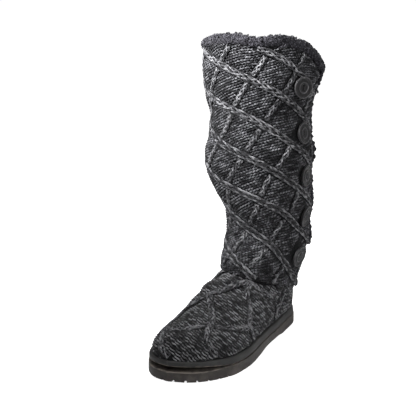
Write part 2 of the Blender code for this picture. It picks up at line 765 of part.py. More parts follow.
def make_outsole(collection, cutters, material):
    """Rubber outsole with heel, arch, toe spring, edge lugs and cross grooves."""
    def bottom(along):
        return spring(along) + arch(along)

    bands = (
        (EDGE_ROUND, bottom), (0.0, lambda a: bottom(a) + EDGE_ROUND),
        (0.0, lambda a: outsole_top(a) - EDGE_ROUND / 2), (EDGE_ROUND / 2, outsole_top),
    )
    outsole = add_object("outsole", sole_slab(bands, plan_half), collection, material)
    cut = outsole.modifiers.new("tread", "BOOLEAN")
    cut.operation = "DIFFERENCE"
    cut.solver = "EXACT"
    cut.object = make_tread_cutter(cutters)


def make_foxing(collection, material):
    """Rubber band and slab under the knit, parted from the outsole at the toe."""
    def bottom(along):
        return outsole_top(along) + FIT_GAP + crevice(along)

    bands = (
        (FOXING_INSET + EDGE_ROUND / 2, bottom), (FOXING_INSET, lambda a: bottom(a) + EDGE_ROUND / 2),
        (FOXING_INSET, lambda a: foxing_top(a) - EDGE_ROUND), (FOXING_INSET + EDGE_ROUND, foxing_top),
    )
    add_object("foxing", sole_slab(bands, plan_half), collection, material)


def make_insole(collection, material):
    """Padded insole inside the knit wall, its points beside the lining's own."""
    bm = bmesh.new()
    rings = []
    for height, inset in ((0.0, 0.0), (INSOLE_THICK - EDGE_ROUND, 0.0), (INSOLE_THICK, EDGE_ROUND)):
        ring = []
        for turn in even_steps(0.0, 1.0, LINING_COLUMNS)[:-1]:
            foot = foot_grid(turn, 0)
            rise = height / (seam_height(foot.y) - foot.z)
            across, along = foot_steps(turn, rise)
            out = across.cross(along).normalized()
            level = Vector((out.x, out.y, 0))
            point = foot_grid(turn, rise) - level * (UPPER_WALL + 4 * FIT_GAP + inset) / level.length_squared
            point.z = knit_foot(along_of(point.y)) + height
            ring.append(bm.verts.new(point))
        rings.append(ring)
    for low, high in zip(rings, rings[1:]):
        for i in range(LINING_COLUMNS):
            beside = (i + 1) % LINING_COLUMNS
            bm.faces.new((low[i], low[beside], high[beside], high[i]))
    for ring in (rings[0], rings[-1]):
        for i in range(LINING_COLUMNS // 2):
            corners = [ring[i], ring[i + 1], ring[-i - 1], ring[-i]]
            bm.faces.new(list(dict.fromkeys(corners)))
    add_object("insole", bm, collection, material)


def edge_frame(u, v, step_u, step_v):
    """Middle of the wall at the sheet's edge, the way out of the wall, and the way off the
    sheet square to the edge, whose own way is given as a step."""
    centre = shaft_point(u, v, UPPER_WALL / 2)
    out = (shaft_point(u, v, -UPPER_WALL) - centre).normalized()
    back = shaft_point(u - step_u, v - step_v, UPPER_WALL / 2)
    way = (shaft_point(u + step_u, v + step_v, UPPER_WALL / 2) - back).normalized()
    away = way.cross(out).normalized()
    inside = shaft_point(u - abs(step_v), v - abs(step_u), UPPER_WALL / 2)
    if away.dot(inside - centre) > 0:
        away.negate()
    return centre, out, away


def fleece_rings():
    """Edge frames along the rim, round the corner and down the flap, with how far each is
    from the rim's kind (0) to the flap's kind (1)."""
    start, end = FLEECE_START * GIRTH / 360, FLAP_END * GIRTH / 360
    foot = sheet_line(FLAP_END, PLACKET_FOOT)
    across = round((end - start) / (0.75 * LUMP_PITCH))
    down = round((SHEET_TOP - foot) / (0.75 * LUMP_PITCH))
    small = 0.1 * LUMP_PITCH
    frames = [(*edge_frame(u, SHEET_TOP, small, 0), 0.0) for u in even_steps(start, end, across)]
    flap = [(*edge_frame(end, v, 0, -small), 1.0) for v in even_steps(SHEET_TOP, foot, down)]
    corner, out, first, _ = frames[-1]
    last = flap[0][2]
    for share in (0.33, 0.67):
        frames.append((corner, out, first.lerp(last, share).normalized(), share))
    return frames + flap


def make_fleece(collection, material):
    """Lumpy fleece roll, swept along the rim and down the free edge of the flap."""
    frames = fleece_rings()
    bm = bmesh.new()
    rings = []
    for i, (edge, out, away, share) in enumerate(frames):
        wide = mix(FLEECE_WIDTH, PLACKET_RADIUS, share)
        high = mix(FLEECE_HEIGHT, PLACKET_RADIUS, share)
        centre = edge + away * (high + FIT_GAP) + out * (share * UPPER_WALL / 2)
        ring = []
        for j in range(6):
            angle = math.pi * j / 3
            lump = 1 - LUMP_DEPTH * ((i + j) % 2)
            if i in (0, len(frames) - 1):
                lump *= 0.6
            arm = out * wide * math.cos(angle) + away * high * math.sin(angle)
            ring.append(bm.verts.new(centre + arm * lump))
        rings.append(ring)
    for low, high in zip(rings, rings[1:]):
        for j in range(6):
            bm.faces.new((low[j], low[(j + 1) % 6], high[(j + 1) % 6], high[j]))
    bm.faces.new(rings[0])
    bm.faces.new(rings[-1])
    add_object("fleece_edge", bm, collection, material)


def button_mesh(collection, cutters, material):
    """Turned two-hole button: rim, sunk face and a raised ring round the holes."""
    r, t = BUTTON_RADIUS, BUTTON_THICK
    profile = (
        (0.0, 0.70 * t), (0.38 * r, 0.70 * t), (0.48 * r, 0.92 * t), (0.60 * r, 0.70 * t),
        (0.84 * r, 0.76 * t), (0.93 * r, t), (r, 0.62 * t), (0.90 * r, 0.0), (0.0, 0.0),
    )
    mesh = bpy.data.meshes.new("button_profile")
    mesh.from_pydata([(x, 0, z) for x, z in profile], [(i, i + 1) for i in range(len(profile) - 1)], [])
    turned = bpy.data.objects.new("button_profile", mesh)
    collection.objects.link(turned)
    screw = turned.modifiers.new("turn", "SCREW")
    screw.steps = screw.render_steps = 18
    screw.use_merge_vertices = True
    screw.merge_threshold = 0.0001
    screw.use_normal_flip = False
    bm = bmesh.new()
    for way in (-1, 1):
        bmesh.ops.create_cone(bm, cap_ends=True, segments=8, radius1=HOLE_RADIUS, radius2=HOLE_RADIUS,
                              depth=4 * t, matrix=Matrix.Translation((0, way * HOLE_SPACING / 2, 0)))
    drill = add_object("button_drill", bm, cutters, None)
    drill.hide_render = True
    drill.display_type = "WIRE"
    cut = turned.modifiers.new("holes", "BOOLEAN")
    cut.operation = "DIFFERENCE"
    cut.solver = "EXACT"
    cut.object = drill
    bpy.context.view_layer.update()
    depsgraph = bpy.context.evaluated_depsgraph_get()
    made = bpy.data.meshes.new_from_object(turned.evaluated_get(depsgraph))
    bpy.data.objects.remove(turned, do_unlink=True)
    made.materials.clear()
    made.materials.append(material)
    return made


def make_buttons(collection, cutters, material):
    """Five buttons on the flap, each turned and tipped as it hangs."""
    made = button_mesh(collection, cutters, material)
    for number, (button, (u, v)) in enumerate(zip(BUTTONS, BUTTON_PLACES), 1):
        base = shaft_point(u, v, 0)
        out = (shaft_point(u, v, -0.01) - base).normalized()
        slope = (shaft_point(u + 0.004, v, 0) - shaft_point(u - 0.004, v, 0)).normalized()
        rise = (shaft_point(u, v + 0.008, 0) - shaft_point(u, v - 0.008, 0)).normalized()
        face = slope.cross(rise).normalized()
        if face.dot(out) < 0:
            face.negate()
        frame = Matrix((slope, face.cross(slope), face)).transposed().to_4x4()
        yaw, tip = math.radians(button.yaw), math.radians(button.tip)
        frame = frame @ Matrix.Rotation(-yaw, 4, "Y") @ Matrix.Rotation(-tip, 4, "X")
        face = frame.to_3x3() @ Vector((0, 0, 1))
        highest = 0.0
        for i in range(-6, 7):
            for j in range(-6, 7):
                at = u + i * BUTTON_RADIUS / 5, v + j * BUTTON_RADIUS / 5
                above = shaft_point(*at, -cable_relief(*at)) - base
                if (above - face * above.dot(face)).length < BUTTON_RADIUS:
                    highest = max(highest, above.dot(face))
        item = bpy.data.objects.new(f"button_{number}", made)
        collection.objects.link(item)
        item.matrix_world = Matrix.Translation(base + face * (highest + BUTTON_LIFT)) @ frame


def build():
    clear_scene()
    boot = new_collection("knee_high_boot")
    cutters = new_collection("cutters")
    rubber = finish("outsole_rubber", (0.075, 0.070, 0.070), 0.75)
    band = finish("foxing_rubber", (0.050, 0.049, 0.050), 0.60)
    knit = finish("marled_knit", (0.070, 0.070, 0.073), 0.95)
    fleece = finish("fleece", (0.055, 0.054, 0.060), 1.0)
    felt = finish("insole_felt", (0.090, 0.090, 0.095), 1.0)
    plastic = finish("button_plastic", (0.055, 0.053, 0.056), 0.45)
    make_outsole(boot, cutters, rubber)
    make_foxing(boot, band)
    make_insole(boot, felt)
    make_foot(boot, knit)
    make_shaft(boot, knit)
    make_fleece(boot, fleece)
    make_buttons(boot, cutters, plastic)


build()
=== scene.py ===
"""Left knitted boot with a buttoned side flap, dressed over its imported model: moulded rubber
sole and foxing, knitted foot and leg with plaited cables, curly fleece edge and buttons."""

import math
from collections import namedtuple

import bmesh
import bpy
import numpy as np
from mathutils import Matrix, Vector, kdtree


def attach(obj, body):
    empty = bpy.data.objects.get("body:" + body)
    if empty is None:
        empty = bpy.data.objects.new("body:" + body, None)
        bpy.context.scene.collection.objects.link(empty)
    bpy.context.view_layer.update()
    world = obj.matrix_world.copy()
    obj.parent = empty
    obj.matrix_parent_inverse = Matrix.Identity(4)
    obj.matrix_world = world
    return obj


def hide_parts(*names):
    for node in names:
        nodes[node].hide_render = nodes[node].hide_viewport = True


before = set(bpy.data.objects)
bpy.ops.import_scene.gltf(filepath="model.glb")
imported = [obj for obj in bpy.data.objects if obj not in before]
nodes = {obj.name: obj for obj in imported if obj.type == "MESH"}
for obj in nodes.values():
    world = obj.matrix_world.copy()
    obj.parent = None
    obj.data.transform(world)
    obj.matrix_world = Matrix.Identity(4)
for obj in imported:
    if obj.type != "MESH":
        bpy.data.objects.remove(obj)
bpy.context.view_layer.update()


# Camera, floor and light
# The boot stands alone on a white sweep, seen from its toe and outer side. A narrow beam from
# the upper left falls on the leg, soft lights stand at the right and behind, and a small one
# hangs over the toe.

CAMERA_PLACE = Vector((0.4932, -1.2198, 0.3972))
CAMERA_WAY = Vector((-0.4113, 0.8902, -0.1959))
FOCAL_PIXELS = 1161
PICTURE_PIXELS = 416
SENSOR_WIDTH = 36
SWEEP_ON_BOOT = 0.18
SWEEP_SEEN = 1.02
FLOOR_HALF = 6
FLOOR_DROP = 0.0004


def turned_to(way):
    """Rotation of a lamp or camera that looks along a direction, upright."""
    ahead = way.normalized()
    right = ahead.cross(Vector((0, 0, 1))).normalized()
    return Matrix((right, right.cross(ahead), -ahead)).transposed().to_4x4()


camera_data = bpy.data.cameras.new("camera")
camera_data.lens = FOCAL_PIXELS / PICTURE_PIXELS * SENSOR_WIDTH
camera_data.sensor_width = SENSOR_WIDTH
camera = bpy.data.objects.new("camera", camera_data)
camera.matrix_world = Matrix.Translation(CAMERA_PLACE) @ turned_to(CAMERA_WAY)
bpy.context.scene.collection.objects.link(camera)
bpy.context.scene.camera = camera


def hang_light(name, place, aim, size, watts, spread=180):
    """One square soft light that looks at a point, its beam spread over an angle in degrees."""
    data = bpy.data.lights.new(name, "AREA")
    data.shape = "SQUARE"
    data.size = size
    data.energy = watts
    data.spread = math.radians(spread)
    lamp = bpy.data.objects.new(name, data)
    lamp.matrix_world = Matrix.Translation(place) @ turned_to(Vector(aim) - Vector(place))
    bpy.context.scene.collection.objects.link(lamp)


hang_light("key_light", (-0.52, -0.80, 1.00), aim=(0, 0.03, 0.46), size=0.5, watts=4.4, spread=27)
hang_light("side_light", (1.5, -0.35, 0.75), aim=(0, -0.05, 0.16), size=0.9, watts=9.5)
hang_light("back_light", (-0.2, 1.3, 1.1), aim=(0, 0, 0.2), size=0.8, watts=8)
hang_light("top_light", (-0.10, -0.38, 1.20), aim=(0, -0.14, 0.06), size=0.5, watts=0.54, spread=34)
bpy.context.scene.view_settings.view_transform = "Standard"

world = bpy.data.worlds.new("studio")
world.use_nodes = True
world_tree = world.node_tree
seen = world_tree.nodes.new("ShaderNodeLightPath").outputs["Is Camera Ray"]
shown = world_tree.nodes.new("ShaderNodeMapRange")
shown.inputs["To Min"].default_value = SWEEP_ON_BOOT
shown.inputs["To Max"].default_value = SWEEP_SEEN
world_tree.links.new(seen, shown.inputs["Value"])
world_tree.links.new(shown.outputs[0], world_tree.nodes["Background"].inputs["Strength"])
world_tree.nodes["Background"].inputs["Color"].default_value = (1, 1, 1, 1)
bpy.context.scene.world = world

floor_form = bmesh.new()
bmesh.ops.create_grid(floor_form, x_segments=1, y_segments=1, size=FLOOR_HALF)
floor_mesh = bpy.data.meshes.new("floor")
floor_form.to_mesh(floor_mesh)
floor_form.free()
floor_mesh.transform(Matrix.Translation((0, 0, -FLOOR_DROP)))
floor = bpy.data.objects.new("floor", floor_mesh)
bpy.context.scene.collection.objects.link(floor)
paper = bpy.data.materials.new("white_paper")
paper.use_nodes = True
paper_shader = paper.node_tree.nodes["Principled BSDF"]
paper_shader.inputs["Base Color"].default_value = (0.8, 0.8, 0.8, 1)
paper_shader.inputs["Roughness"].default_value = 1.0
paper_shader.inputs["Emission Color"].default_value = (1, 1, 1, 1)
paper_seen = paper.node_tree.nodes.new("ShaderNodeLightPath").outputs["Is Camera Ray"]
paper.node_tree.links.new(paper_seen, paper_shader.inputs["Emission Strength"])
floor_mesh.materials.append(paper)


# Outsole
# A flat moulded rubber sole cemented under the foxing. Its edge is buffed, its lugs are cut
# square, and the lip at the toe, where it gapes from the foxing, is scuffed pale.

SOLE_LENGTH = 0.275
BALL_WIDTH = 0.100
HEEL_WIDTH = 0.077
HEEL_REACH = 0.036
OUTSOLE_THICK = 0.0115
TOE_SPRING = 0.0012
ARCH_RISE = 0.0022
EDGE_ROUND = 0.0012
LUG_PITCH = 0.0125
LUG_GROOVE = 0.0024
LUG_DEPTH = 0.0022
LUG_LENGTH = 0.0120
LUG_START = 0.60
BAR_WIDTH = 0.0030
BAR_PITCH = 0.0150
BAR_COUNT = 4
FOREFOOT_REST = 0.69
WAIST_SPAN = (0.30, 0.65)
ARCH_START = (0.26, 0.34)
ARCH_END = (0.48, 0.58)
SPRING_START = 0.84
TOE_FLATTENED = 0.0010
FLATTENED_FROM = 0.97
BUFFED_HEIGHT = 0.0052
SOLE_STATIONS = 90
LUG_STATIONS = 60
OUTLINE_STEP = 0.003
SOLE_CREASE = 40

Plan = namedtuple("Plan", "along medial lateral")
PLAN = [Plan(*row) for row in (
    (0.000, 0.00, 0.00), (0.015, 0.45, 0.45), (0.050, 0.76, 0.77), (0.120, 0.96, 0.97),
    (0.220, 1.01, 1.03), (0.340, 0.96, 1.09), (0.460, 0.84, 1.02), (0.580, 0.88, 0.975),
    (0.700, 0.96, 1.015), (0.800, 0.965, 0.975), (0.880, 0.85, 0.80), (0.940, 0.66, 0.57),
    (0.980, 0.41, 0.29), (1.000, 0.10, -0.10),
)]


def read_table(rows, at, column):
    """One column of a table at any place, on a smooth curve that keeps between its rows."""
    places = [row[0] for row in rows]
    values = [getattr(row, column) for row in rows]
    if at <= places[0]:
        return values[0]
    if at >= places[-1]:
        return values[-1]
    low = max(i for i in range(len(rows) - 1) if places[i] <= at)

    def slope(i):
        return (values[i + 1] - values[i]) / (places[i + 1] - places[i])

    def tangent(i):
        if i == 0 or i == len(rows) - 1:
            return slope(min(i, len(rows) - 2))
        before, after = slope(i - 1), slope(i)
        if before * after <= 0:
            return 0.0
        return 2 * before * after / (before + after)

    span = places[low + 1] - places[low]
    s = (at - places[low]) / span
    start, end = values[low], values[low + 1]
    return (start * (1 + 2 * s) * (1 - s) ** 2 + end * s * s * (3 - 2 * s)
            + span * (tangent(low) * s * (1 - s) ** 2 - tangent(low + 1) * s * s * (1 - s)))


def ease(value, start, end):
    """0 before start, 1 after end, and a smooth step between them."""
    s = np.clip((value - start) / (end - start), 0.0, 1.0)
    return s * s * (3 - 2 * s)


def ramp(value, start, end):
    """0 before start, 1 after end, and a straight rise between them."""
    return np.clip((value - start) / (end - start), 0.0, 1.0)


def mix(a, b, share):
    return a + (b - a) * share


def even_steps(low, high, count):
    return [low + (high - low) * i / count for i in range(count + 1)]


def along_of(y):
    return (HEEL_REACH - y) / SOLE_LENGTH


def plan_half(along, side):
    """Half width of the sole on the medial side (-1) or the outer side (1)."""
    column = "medial" if side < 0 else "lateral"
    width = mix(HEEL_WIDTH, BALL_WIDTH, ease(along, *WAIST_SPAN))
    return read_table(PLAN, along, column) * width / 2


def spring(along):
    return TOE_SPRING * ramp(along, SPRING_START, 1.0) ** 2


def arch(along):
    return ARCH_RISE * ease(along, *ARCH_START) * (1 - ease(along, *ARCH_END))


def outsole_top(along):
    return OUTSOLE_THICK + spring(along)


def outsole_bottom(along):
    return spring(along) + arch(along)


def worn_top(along):
    """Top of the outsole, a little flattened where it gapes at the toe."""
    return outsole_top(along) - TOE_FLATTENED * ease(along, SPRING_START, FLATTENED_FROM)


def edge_point(along, side, inset):
    """Point of the sole's outline, moved in square to the outline."""
    def place(at, way):
        if at < 0 or at > 1:
            at, way = (-at if at < 0 else 2 - at), -way
        return Vector((way * plan_half(at, way), HEEL_REACH - at * SOLE_LENGTH))

    ahead = place(along + OUTLINE_STEP, side)
    behind = place(along - OUTLINE_STEP, side)
    way = (ahead - behind).normalized()
    return place(along, side) + side * inset * Vector((way.y, -way.x))


Band = namedtuple("Band", "inset edge rise worn")


def join_rings(bm, rings):
    """Faces between closed lines of vertices that follow one another."""
    for low, high in zip(rings, rings[1:]):
        for i in range(len(low)):
            k = (i + 1) % len(low)
            bm.faces.new((low[i], low[k], high[k], high[i]))


def sole_slab(bands):
    """Closed slab between lines round the sole. Each line is set in from the outline, stands
    off an edge of the sole by its rise, and is worn by a share."""
    bm = bmesh.new()
    wear = bm.verts.layers.float.new("lip_wear")
    count = SOLE_STATIONS
    stations = [(1 - math.cos(math.pi * j / count)) / 2 for j in range(count + 1)]
    trail = [(a, 1) for a in stations] + [(a, -1) for a in reversed(stations[1:-1])]
    rings = []
    for band in bands:
        ring = []
        for along, side in trail:
            flat = edge_point(along, side, band.inset)
            height = band.edge(along_of(flat.y)) + band.rise
            ring.append(bm.verts.new((flat.x, flat.y, height)))
            ring[-1][wear] = band.worn
        rings.append(ring)
    join_rings(bm, rings)
    total = len(trail)
    for ring in (rings[0], rings[-1]):
        for j in range(count):
            far, near = (total - j - 1) % total, (total - j) % total
            bm.faces.new(list(dict.fromkeys((ring[j], ring[j + 1], ring[far], ring[near]))))
    bmesh.ops.recalc_face_normals(bm, faces=bm.faces[:])
    return bm


def object_of(name, bm, material, smooth_angle=None):
    """Object at the origin from a bmesh, smooth up to an angle in degrees."""
    mesh = bpy.data.meshes.new(name)
    bm.to_mesh(mesh)
    bm.free()
    item = bpy.data.objects.new(name, mesh)
    bpy.context.scene.collection.objects.link(item)
    if material:
        mesh.materials.append(material)
    if smooth_angle:
        mesh.shade_smooth()
        mesh.set_sharp_from_angle(angle=math.radians(smooth_angle))
    return item


def applied(item):
    """The object with its modifiers made into its mesh."""
    depsgraph = bpy.context.evaluated_depsgraph_get()
    made = bpy.data.meshes.new_from_object(item.evaluated_get(depsgraph))
    item.modifiers.clear()
    item.data = made
    return item


def cut_by(item, cutter):
    """The object with another one cut out of it; the other one is then taken away."""
    cut = item.modifiers.new("cut", "BOOLEAN")
    cut.operation = "DIFFERENCE"
    cut.solver = "EXACT"
    cut.object = cutter
    bpy.context.view_layer.update()
    applied(item)
    bpy.data.objects.remove(cutter, do_unlink=True)


def new_material(name):
    """Material with its tree and its main shader."""
    material = bpy.data.materials.new(name)
    material.use_nodes = True
    return material, material.node_tree, material.node_tree.nodes["Principled BSDF"]


def node_group(name, kind, inputs, outputs):
    """Node group with its named sockets, and what its input node gives."""
    tree = bpy.data.node_groups.new(name, kind)
    for way, sockets in (("INPUT", inputs), ("OUTPUT", outputs)):
        for label, socket in sockets.items():
            tree.interface.new_socket(label, in_out=way, socket_type="NodeSocket" + socket)
    return tree, tree.nodes.new("NodeGroupInput").outputs


def group_result(tree, *values):
    """The group with its outputs linked, in the order of its sockets."""
    out = tree.nodes.new("NodeGroupOutput")
    for socket, value in zip(out.inputs, values):
        tree.links.new(value, socket)
    return tree


def add_node(tree, kind, **settings):
    """One node of a tree with its settings; inputs are given by their place or name."""
    node = tree.nodes.new(kind)
    inputs = settings.pop("inputs", {})
    for key, value in settings.items():
        setattr(node, key, value)
    for key, value in inputs.items():
        if isinstance(value, bpy.types.NodeSocket):
            tree.links.new(value, node.inputs[key])
        else:
            node.inputs[key].default_value = value
    return node


def math_node(tree, operation, *values):
    """Output of one Math node whose inputs are numbers or sockets."""
    return add_node(tree, "ShaderNodeMath", operation=operation,
                    inputs=dict(enumerate(values))).outputs[0]


def times(tree, a, b):
    return math_node(tree, "MULTIPLY", a, b)


def plus(tree, a, b):
    return math_node(tree, "ADD", a, b)


def mix_colours(tree, share, low, high):
    """Output of one Mix node between two colours."""
    return add_node(tree, "ShaderNodeMix", data_type="RGBA", clamp_factor=True,
                    inputs={0: share, 6: low, 7: high}).outputs[2]


def ramp_node(tree, value, start, end):
    """Smooth step from 0 at start to 1 at end."""
    return add_node(tree, "ShaderNodeMapRange", interpolation_type="SMOOTHSTEP",
                    inputs={"Value": value, "From Min": start, "From Max": end}).outputs[0]


def object_place(tree):
    return add_node(tree, "ShaderNodeTexCoord").outputs["Object"]


def noise(tree, place, scale, detail=2.0, roughness=0.5, distortion=0.0):
    """Grey value of one Noise node."""
    return add_node(tree, "ShaderNodeTexNoise",
                    inputs={"Vector": place, "Scale": scale, "Detail": detail,
                            "Roughness": roughness, "Distortion": distortion}).outputs[0]


def finish_shader(tree, shader, colour, height, strength, distance, plain):
    """Links the colour and a bump to the shader and sets its plain values."""
    bump = add_node(tree, "ShaderNodeBump",
                    inputs={"Strength": strength, "Distance": distance, "Height": height})
    tree.links.new(colour, shader.inputs["Base Color"])
    tree.links.new(bump.outputs[0], shader.inputs["Normal"])
    for name, value in plain.items():
        shader.inputs[name].default_value = value


def linear(red, green, blue):
    """Screen colour from 0 to 255 as the shader's own values."""
    values = [c / 255 for c in (red, green, blue)]
    return tuple(v / 12.92 if v <= 0.04045 else ((v + 0.055) / 1.055) ** 2.4
                 for v in values) + (1,)


FILM_SPAN = (0.42, 0.72)
SCUFF_SPAN = (0.60, 0.74)
SCUFF_SHARE = 0.35
SPECK_SPAN = (0.60, 0.80)
SPECK_SHARE = 0.10


def rubber_group():
    """Matt moulded rubber with mottling, fine grain, long faint scuffs and a dusty film."""
    tree, given = node_group(
        "buffed_rubber", "ShaderNodeTree",
        {"Rubber": "Color", "Dust": "Color", "Dust Share": "Float", "Grain": "Float"},
        {"Colour": "Color", "Roughness": "Float", "Height": "Float"})
    place = object_place(tree)
    mottle = noise(tree, place, 55.0, 5.0, 0.6)
    grain = noise(tree, place, 1400.0, 3.0, 0.7)
    flat = add_node(tree, "ShaderNodeMapping", inputs={"Vector": place, "Scale": (60, 60, 900)})
    scuff = noise(tree, flat.outputs[0], 1.0, 4.0)
    film = times(tree, ramp_node(tree, mottle, *FILM_SPAN), given["Dust Share"])
    lines = times(tree, ramp_node(tree, scuff, *SCUFF_SPAN), SCUFF_SHARE)
    share = math_node(tree, "MAXIMUM", film, times(tree, lines, given["Dust Share"]))
    speck = plus(tree, share, times(tree, ramp_node(tree, grain, *SPECK_SPAN), SPECK_SHARE))
    colour = mix_colours(tree, speck, given["Rubber"], given["Dust"])
    rough = plus(tree, times(tree, mottle, 0.22), 0.50)
    height = plus(tree, times(tree, grain, given["Grain"]), times(tree, scuff, 0.5))
    return group_result(tree, colour, rough, height)


WORN_FROM = -0.155
WORN_FULLY = -0.215
LIP_SPAN = (0.25, 0.85)
WORN_PATCHES = (0.30, 0.62)
WORN_RUBBER = linear(122, 114, 106)
buffed_rubber = rubber_group()


def rubber_material(name, rubber, dust, share):
    """Rubber whose lips are worn pale at the toe."""
    material, tree, shader = new_material(name)
    group = add_node(tree, "ShaderNodeGroup", node_tree=buffed_rubber,
                     inputs={"Rubber": rubber, "Dust": dust, "Dust Share": share, "Grain": 0.35})
    place = object_place(tree)
    ahead = add_node(tree, "ShaderNodeSeparateXYZ", inputs={0: place}).outputs[1]
    lip = add_node(tree, "ShaderNodeAttribute", attribute_name="lip_wear").outputs["Fac"]
    toe = times(tree, ramp_node(tree, ahead, WORN_FROM, WORN_FULLY),
                ramp_node(tree, noise(tree, place, 130.0, 4.0), *WORN_PATCHES))
    worn = times(tree, ramp_node(tree, lip, *LIP_SPAN), toe)
    colour = mix_colours(tree, worn, group.outputs[0], WORN_RUBBER)
    tree.links.new(group.outputs[1], shader.inputs["Roughness"])
    finish_shader(tree, shader, colour, group.outputs[2], 0.35, 0.0004,
                  {"Specular IOR Level": 0.35})
    return material


def add_bar(bm, centre, way, length, width, depth):
    """Upright box for a groove, its length along a level direction."""
    turn = Matrix.Rotation(math.atan2(way.y, way.x), 4, "Z")
    size = Matrix.Diagonal((length, width, depth, 1))
    bmesh.ops.create_cube(bm, size=1, matrix=Matrix.Translation(centre) @ turn @ size)


def tread_cutter():
    """Grooves between the edge lugs and across the middle of heel and forefoot."""
    bm = bmesh.new()
    stations = even_steps(LUG_START, 1.0, LUG_STATIONS)
    trail = [(a, 1) for a in stations] + [(a, -1) for a in reversed(stations[:-1])]
    points = [edge_point(along, side, 0.0) for along, side in trail]
    gone = LUG_PITCH / 2
    for a, b in zip(points, points[1:]):
        step = (b - a).length
        while gone < step:
            spot = a.lerp(b, gone / step)
            way = (b - a).normalized()
            inward = Vector((way.y, -way.x))
            middle = spot + inward * (LUG_LENGTH / 2 - EDGE_ROUND)
            bottom = spring(along_of(spot.y))
            add_bar(bm, Vector((middle.x, middle.y, bottom)), inward, LUG_LENGTH, LUG_GROOVE,
                    2 * LUG_DEPTH)
            gone += LUG_PITCH
        gone -= step
    for centre in (0.0, HEEL_REACH - FOREFOOT_REST * SOLE_LENGTH):
        for i in range(BAR_COUNT):
            y = centre + (i - (BAR_COUNT - 1) / 2) * BAR_PITCH
            left = -plan_half(along_of(y), -1) + LUG_LENGTH + EDGE_ROUND
            right = plan_half(along_of(y), 1) - LUG_LENGTH - EDGE_ROUND
            middle = Vector(((left + right) / 2, y, 0))
            add_bar(bm, middle, Vector((1, 0)), right - left, BAR_WIDTH, 2 * LUG_DEPTH)
    return object_of("tread_cutter", bm, None)


outsole_bands = [Band(*row) for row in (
    (EDGE_ROUND, outsole_bottom, 0, 0), (0.3 * EDGE_ROUND, outsole_bottom, 0.3 * EDGE_ROUND, 0),
    (0, outsole_bottom, EDGE_ROUND, 0), (0, outsole_bottom, BUFFED_HEIGHT, 0),
    (0, worn_top, -0.0012, 0), (0, worn_top, -0.0006, 0.5),
    (0.00025, worn_top, -0.0003, 1), (0.0009, worn_top, 0, 0.6),
)]
outsole_rubber = rubber_material("outsole_rubber", linear(56, 52, 50), linear(96, 90, 86), 0.55)
outsole = object_of("outsole_tread", sole_slab(outsole_bands), outsole_rubber, SOLE_CREASE)
cut_by(outsole, tread_cutter())
outsole.data.shade_smooth()
outsole.data.set_sharp_from_angle(angle=math.radians(SOLE_CREASE))
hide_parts("outsole")
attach(outsole, "root")


# Foxing
# A smooth rubber band with its own slab, cemented to the outsole at the heel and sides. At
# the toe the cement has let go, and both lips of the gap are rubbed pale.

FIT_GAP = 0.0003
FOXING_THICK = 0.0078
FOXING_INSET = 0.0008
CREVICE = 0.0040
CREVICE_SPAN = (0.80, 0.98)
CREVICE_ABOVE = 0.4


def crevice(along):
    return CREVICE * ease(along, *CREVICE_SPAN)


def foxing_bottom(along):
    return outsole_top(along) + FIT_GAP + crevice(along)


def foxing_top(along):
    return outsole_top(along) + FIT_GAP + FOXING_THICK + CREVICE_ABOVE * crevice(along)


foxing_rubber = rubber_material("foxing_rubber", linear(42, 42, 42), linear(76, 75, 73), 0.46)
foxing_bands = [Band(FOXING_INSET + more, *row) for more, *row in (
    (0.0009, foxing_bottom, 0, 0.5), (0.0002, foxing_bottom, 0.0003, 1),
    (0, foxing_bottom, 0.0008, 0.7), (0, foxing_bottom, 0.0013, 0),
    (0, foxing_top, -0.0024, 0), (0.0003, foxing_top, -0.0010, 0),
    (0.0010, foxing_top, -0.0002, 0), (0.0018, foxing_top, 0, 0),
)]
foxing = object_of("foxing_band", sole_slab(foxing_bands), foxing_rubber, SOLE_CREASE)
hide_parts("foxing")
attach(foxing, "root")


# Insole
# A felt-covered insole that lies on the foxing's slab inside the knit, pressed flat and a
# little fluffed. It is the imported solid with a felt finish.

insole_felt, felt_tree, felt_shader = new_material("insole_felt")
felt_place = object_place(felt_tree)
felt_fibre = noise(felt_tree, felt_place, 900.0, 6.0, 0.75, 1.5)
felt_share = times(felt_tree, felt_fibre, plus(felt_tree, noise(felt_tree, felt_place, 60.0), 0.5))
felt_colour = mix_colours(felt_tree, felt_share, linear(48, 48, 51), linear(116, 115, 120))
finish_shader(felt_tree, felt_shader, felt_colour, felt_fibre, 0.7, 0.0008,
              {"Roughness": 1.0, "Sheen Weight": 0.3})
nodes["insole"].material_slots[0].material = insole_felt


# Knitted foot: the wall
# The foot is a knitted tube cut on the bias, backed by a thin lining and cemented to the
# foxing. Its cables cross over the vamp, and the ground between them puffs out a little.

SOLE_MIDDLE = HEEL_REACH - SOLE_LENGTH / 2
INSTEP_HEIGHT = 0.0775
FEATHER_INSET = 0.0022
UPPER_WALL = 0.0030
SEAM_HEIGHT = 0.0750
SEAM_FORE = -0.0850
SEAM_RISE_FORE = -0.23
SEAM_RISE_SIDE = -0.22
LEG_HEIGHT = 0.335
CALF_WIDTH = 0.120
CALF_DEPTH = 0.122
CABLE_HALF = 0.0044
SEAM_TUCK = 0.0030
FOOT_RING = 176
FOOT_LEVELS = 60
SLICE_STEPS = 80
THROAT_STEPS = 240
THROAT_INSET = 0.4
THROAT_START = 0.70
TUCK_START = 0.91
FEATHER_TUCK = 0.045
FEATHER_REACH = 0.16

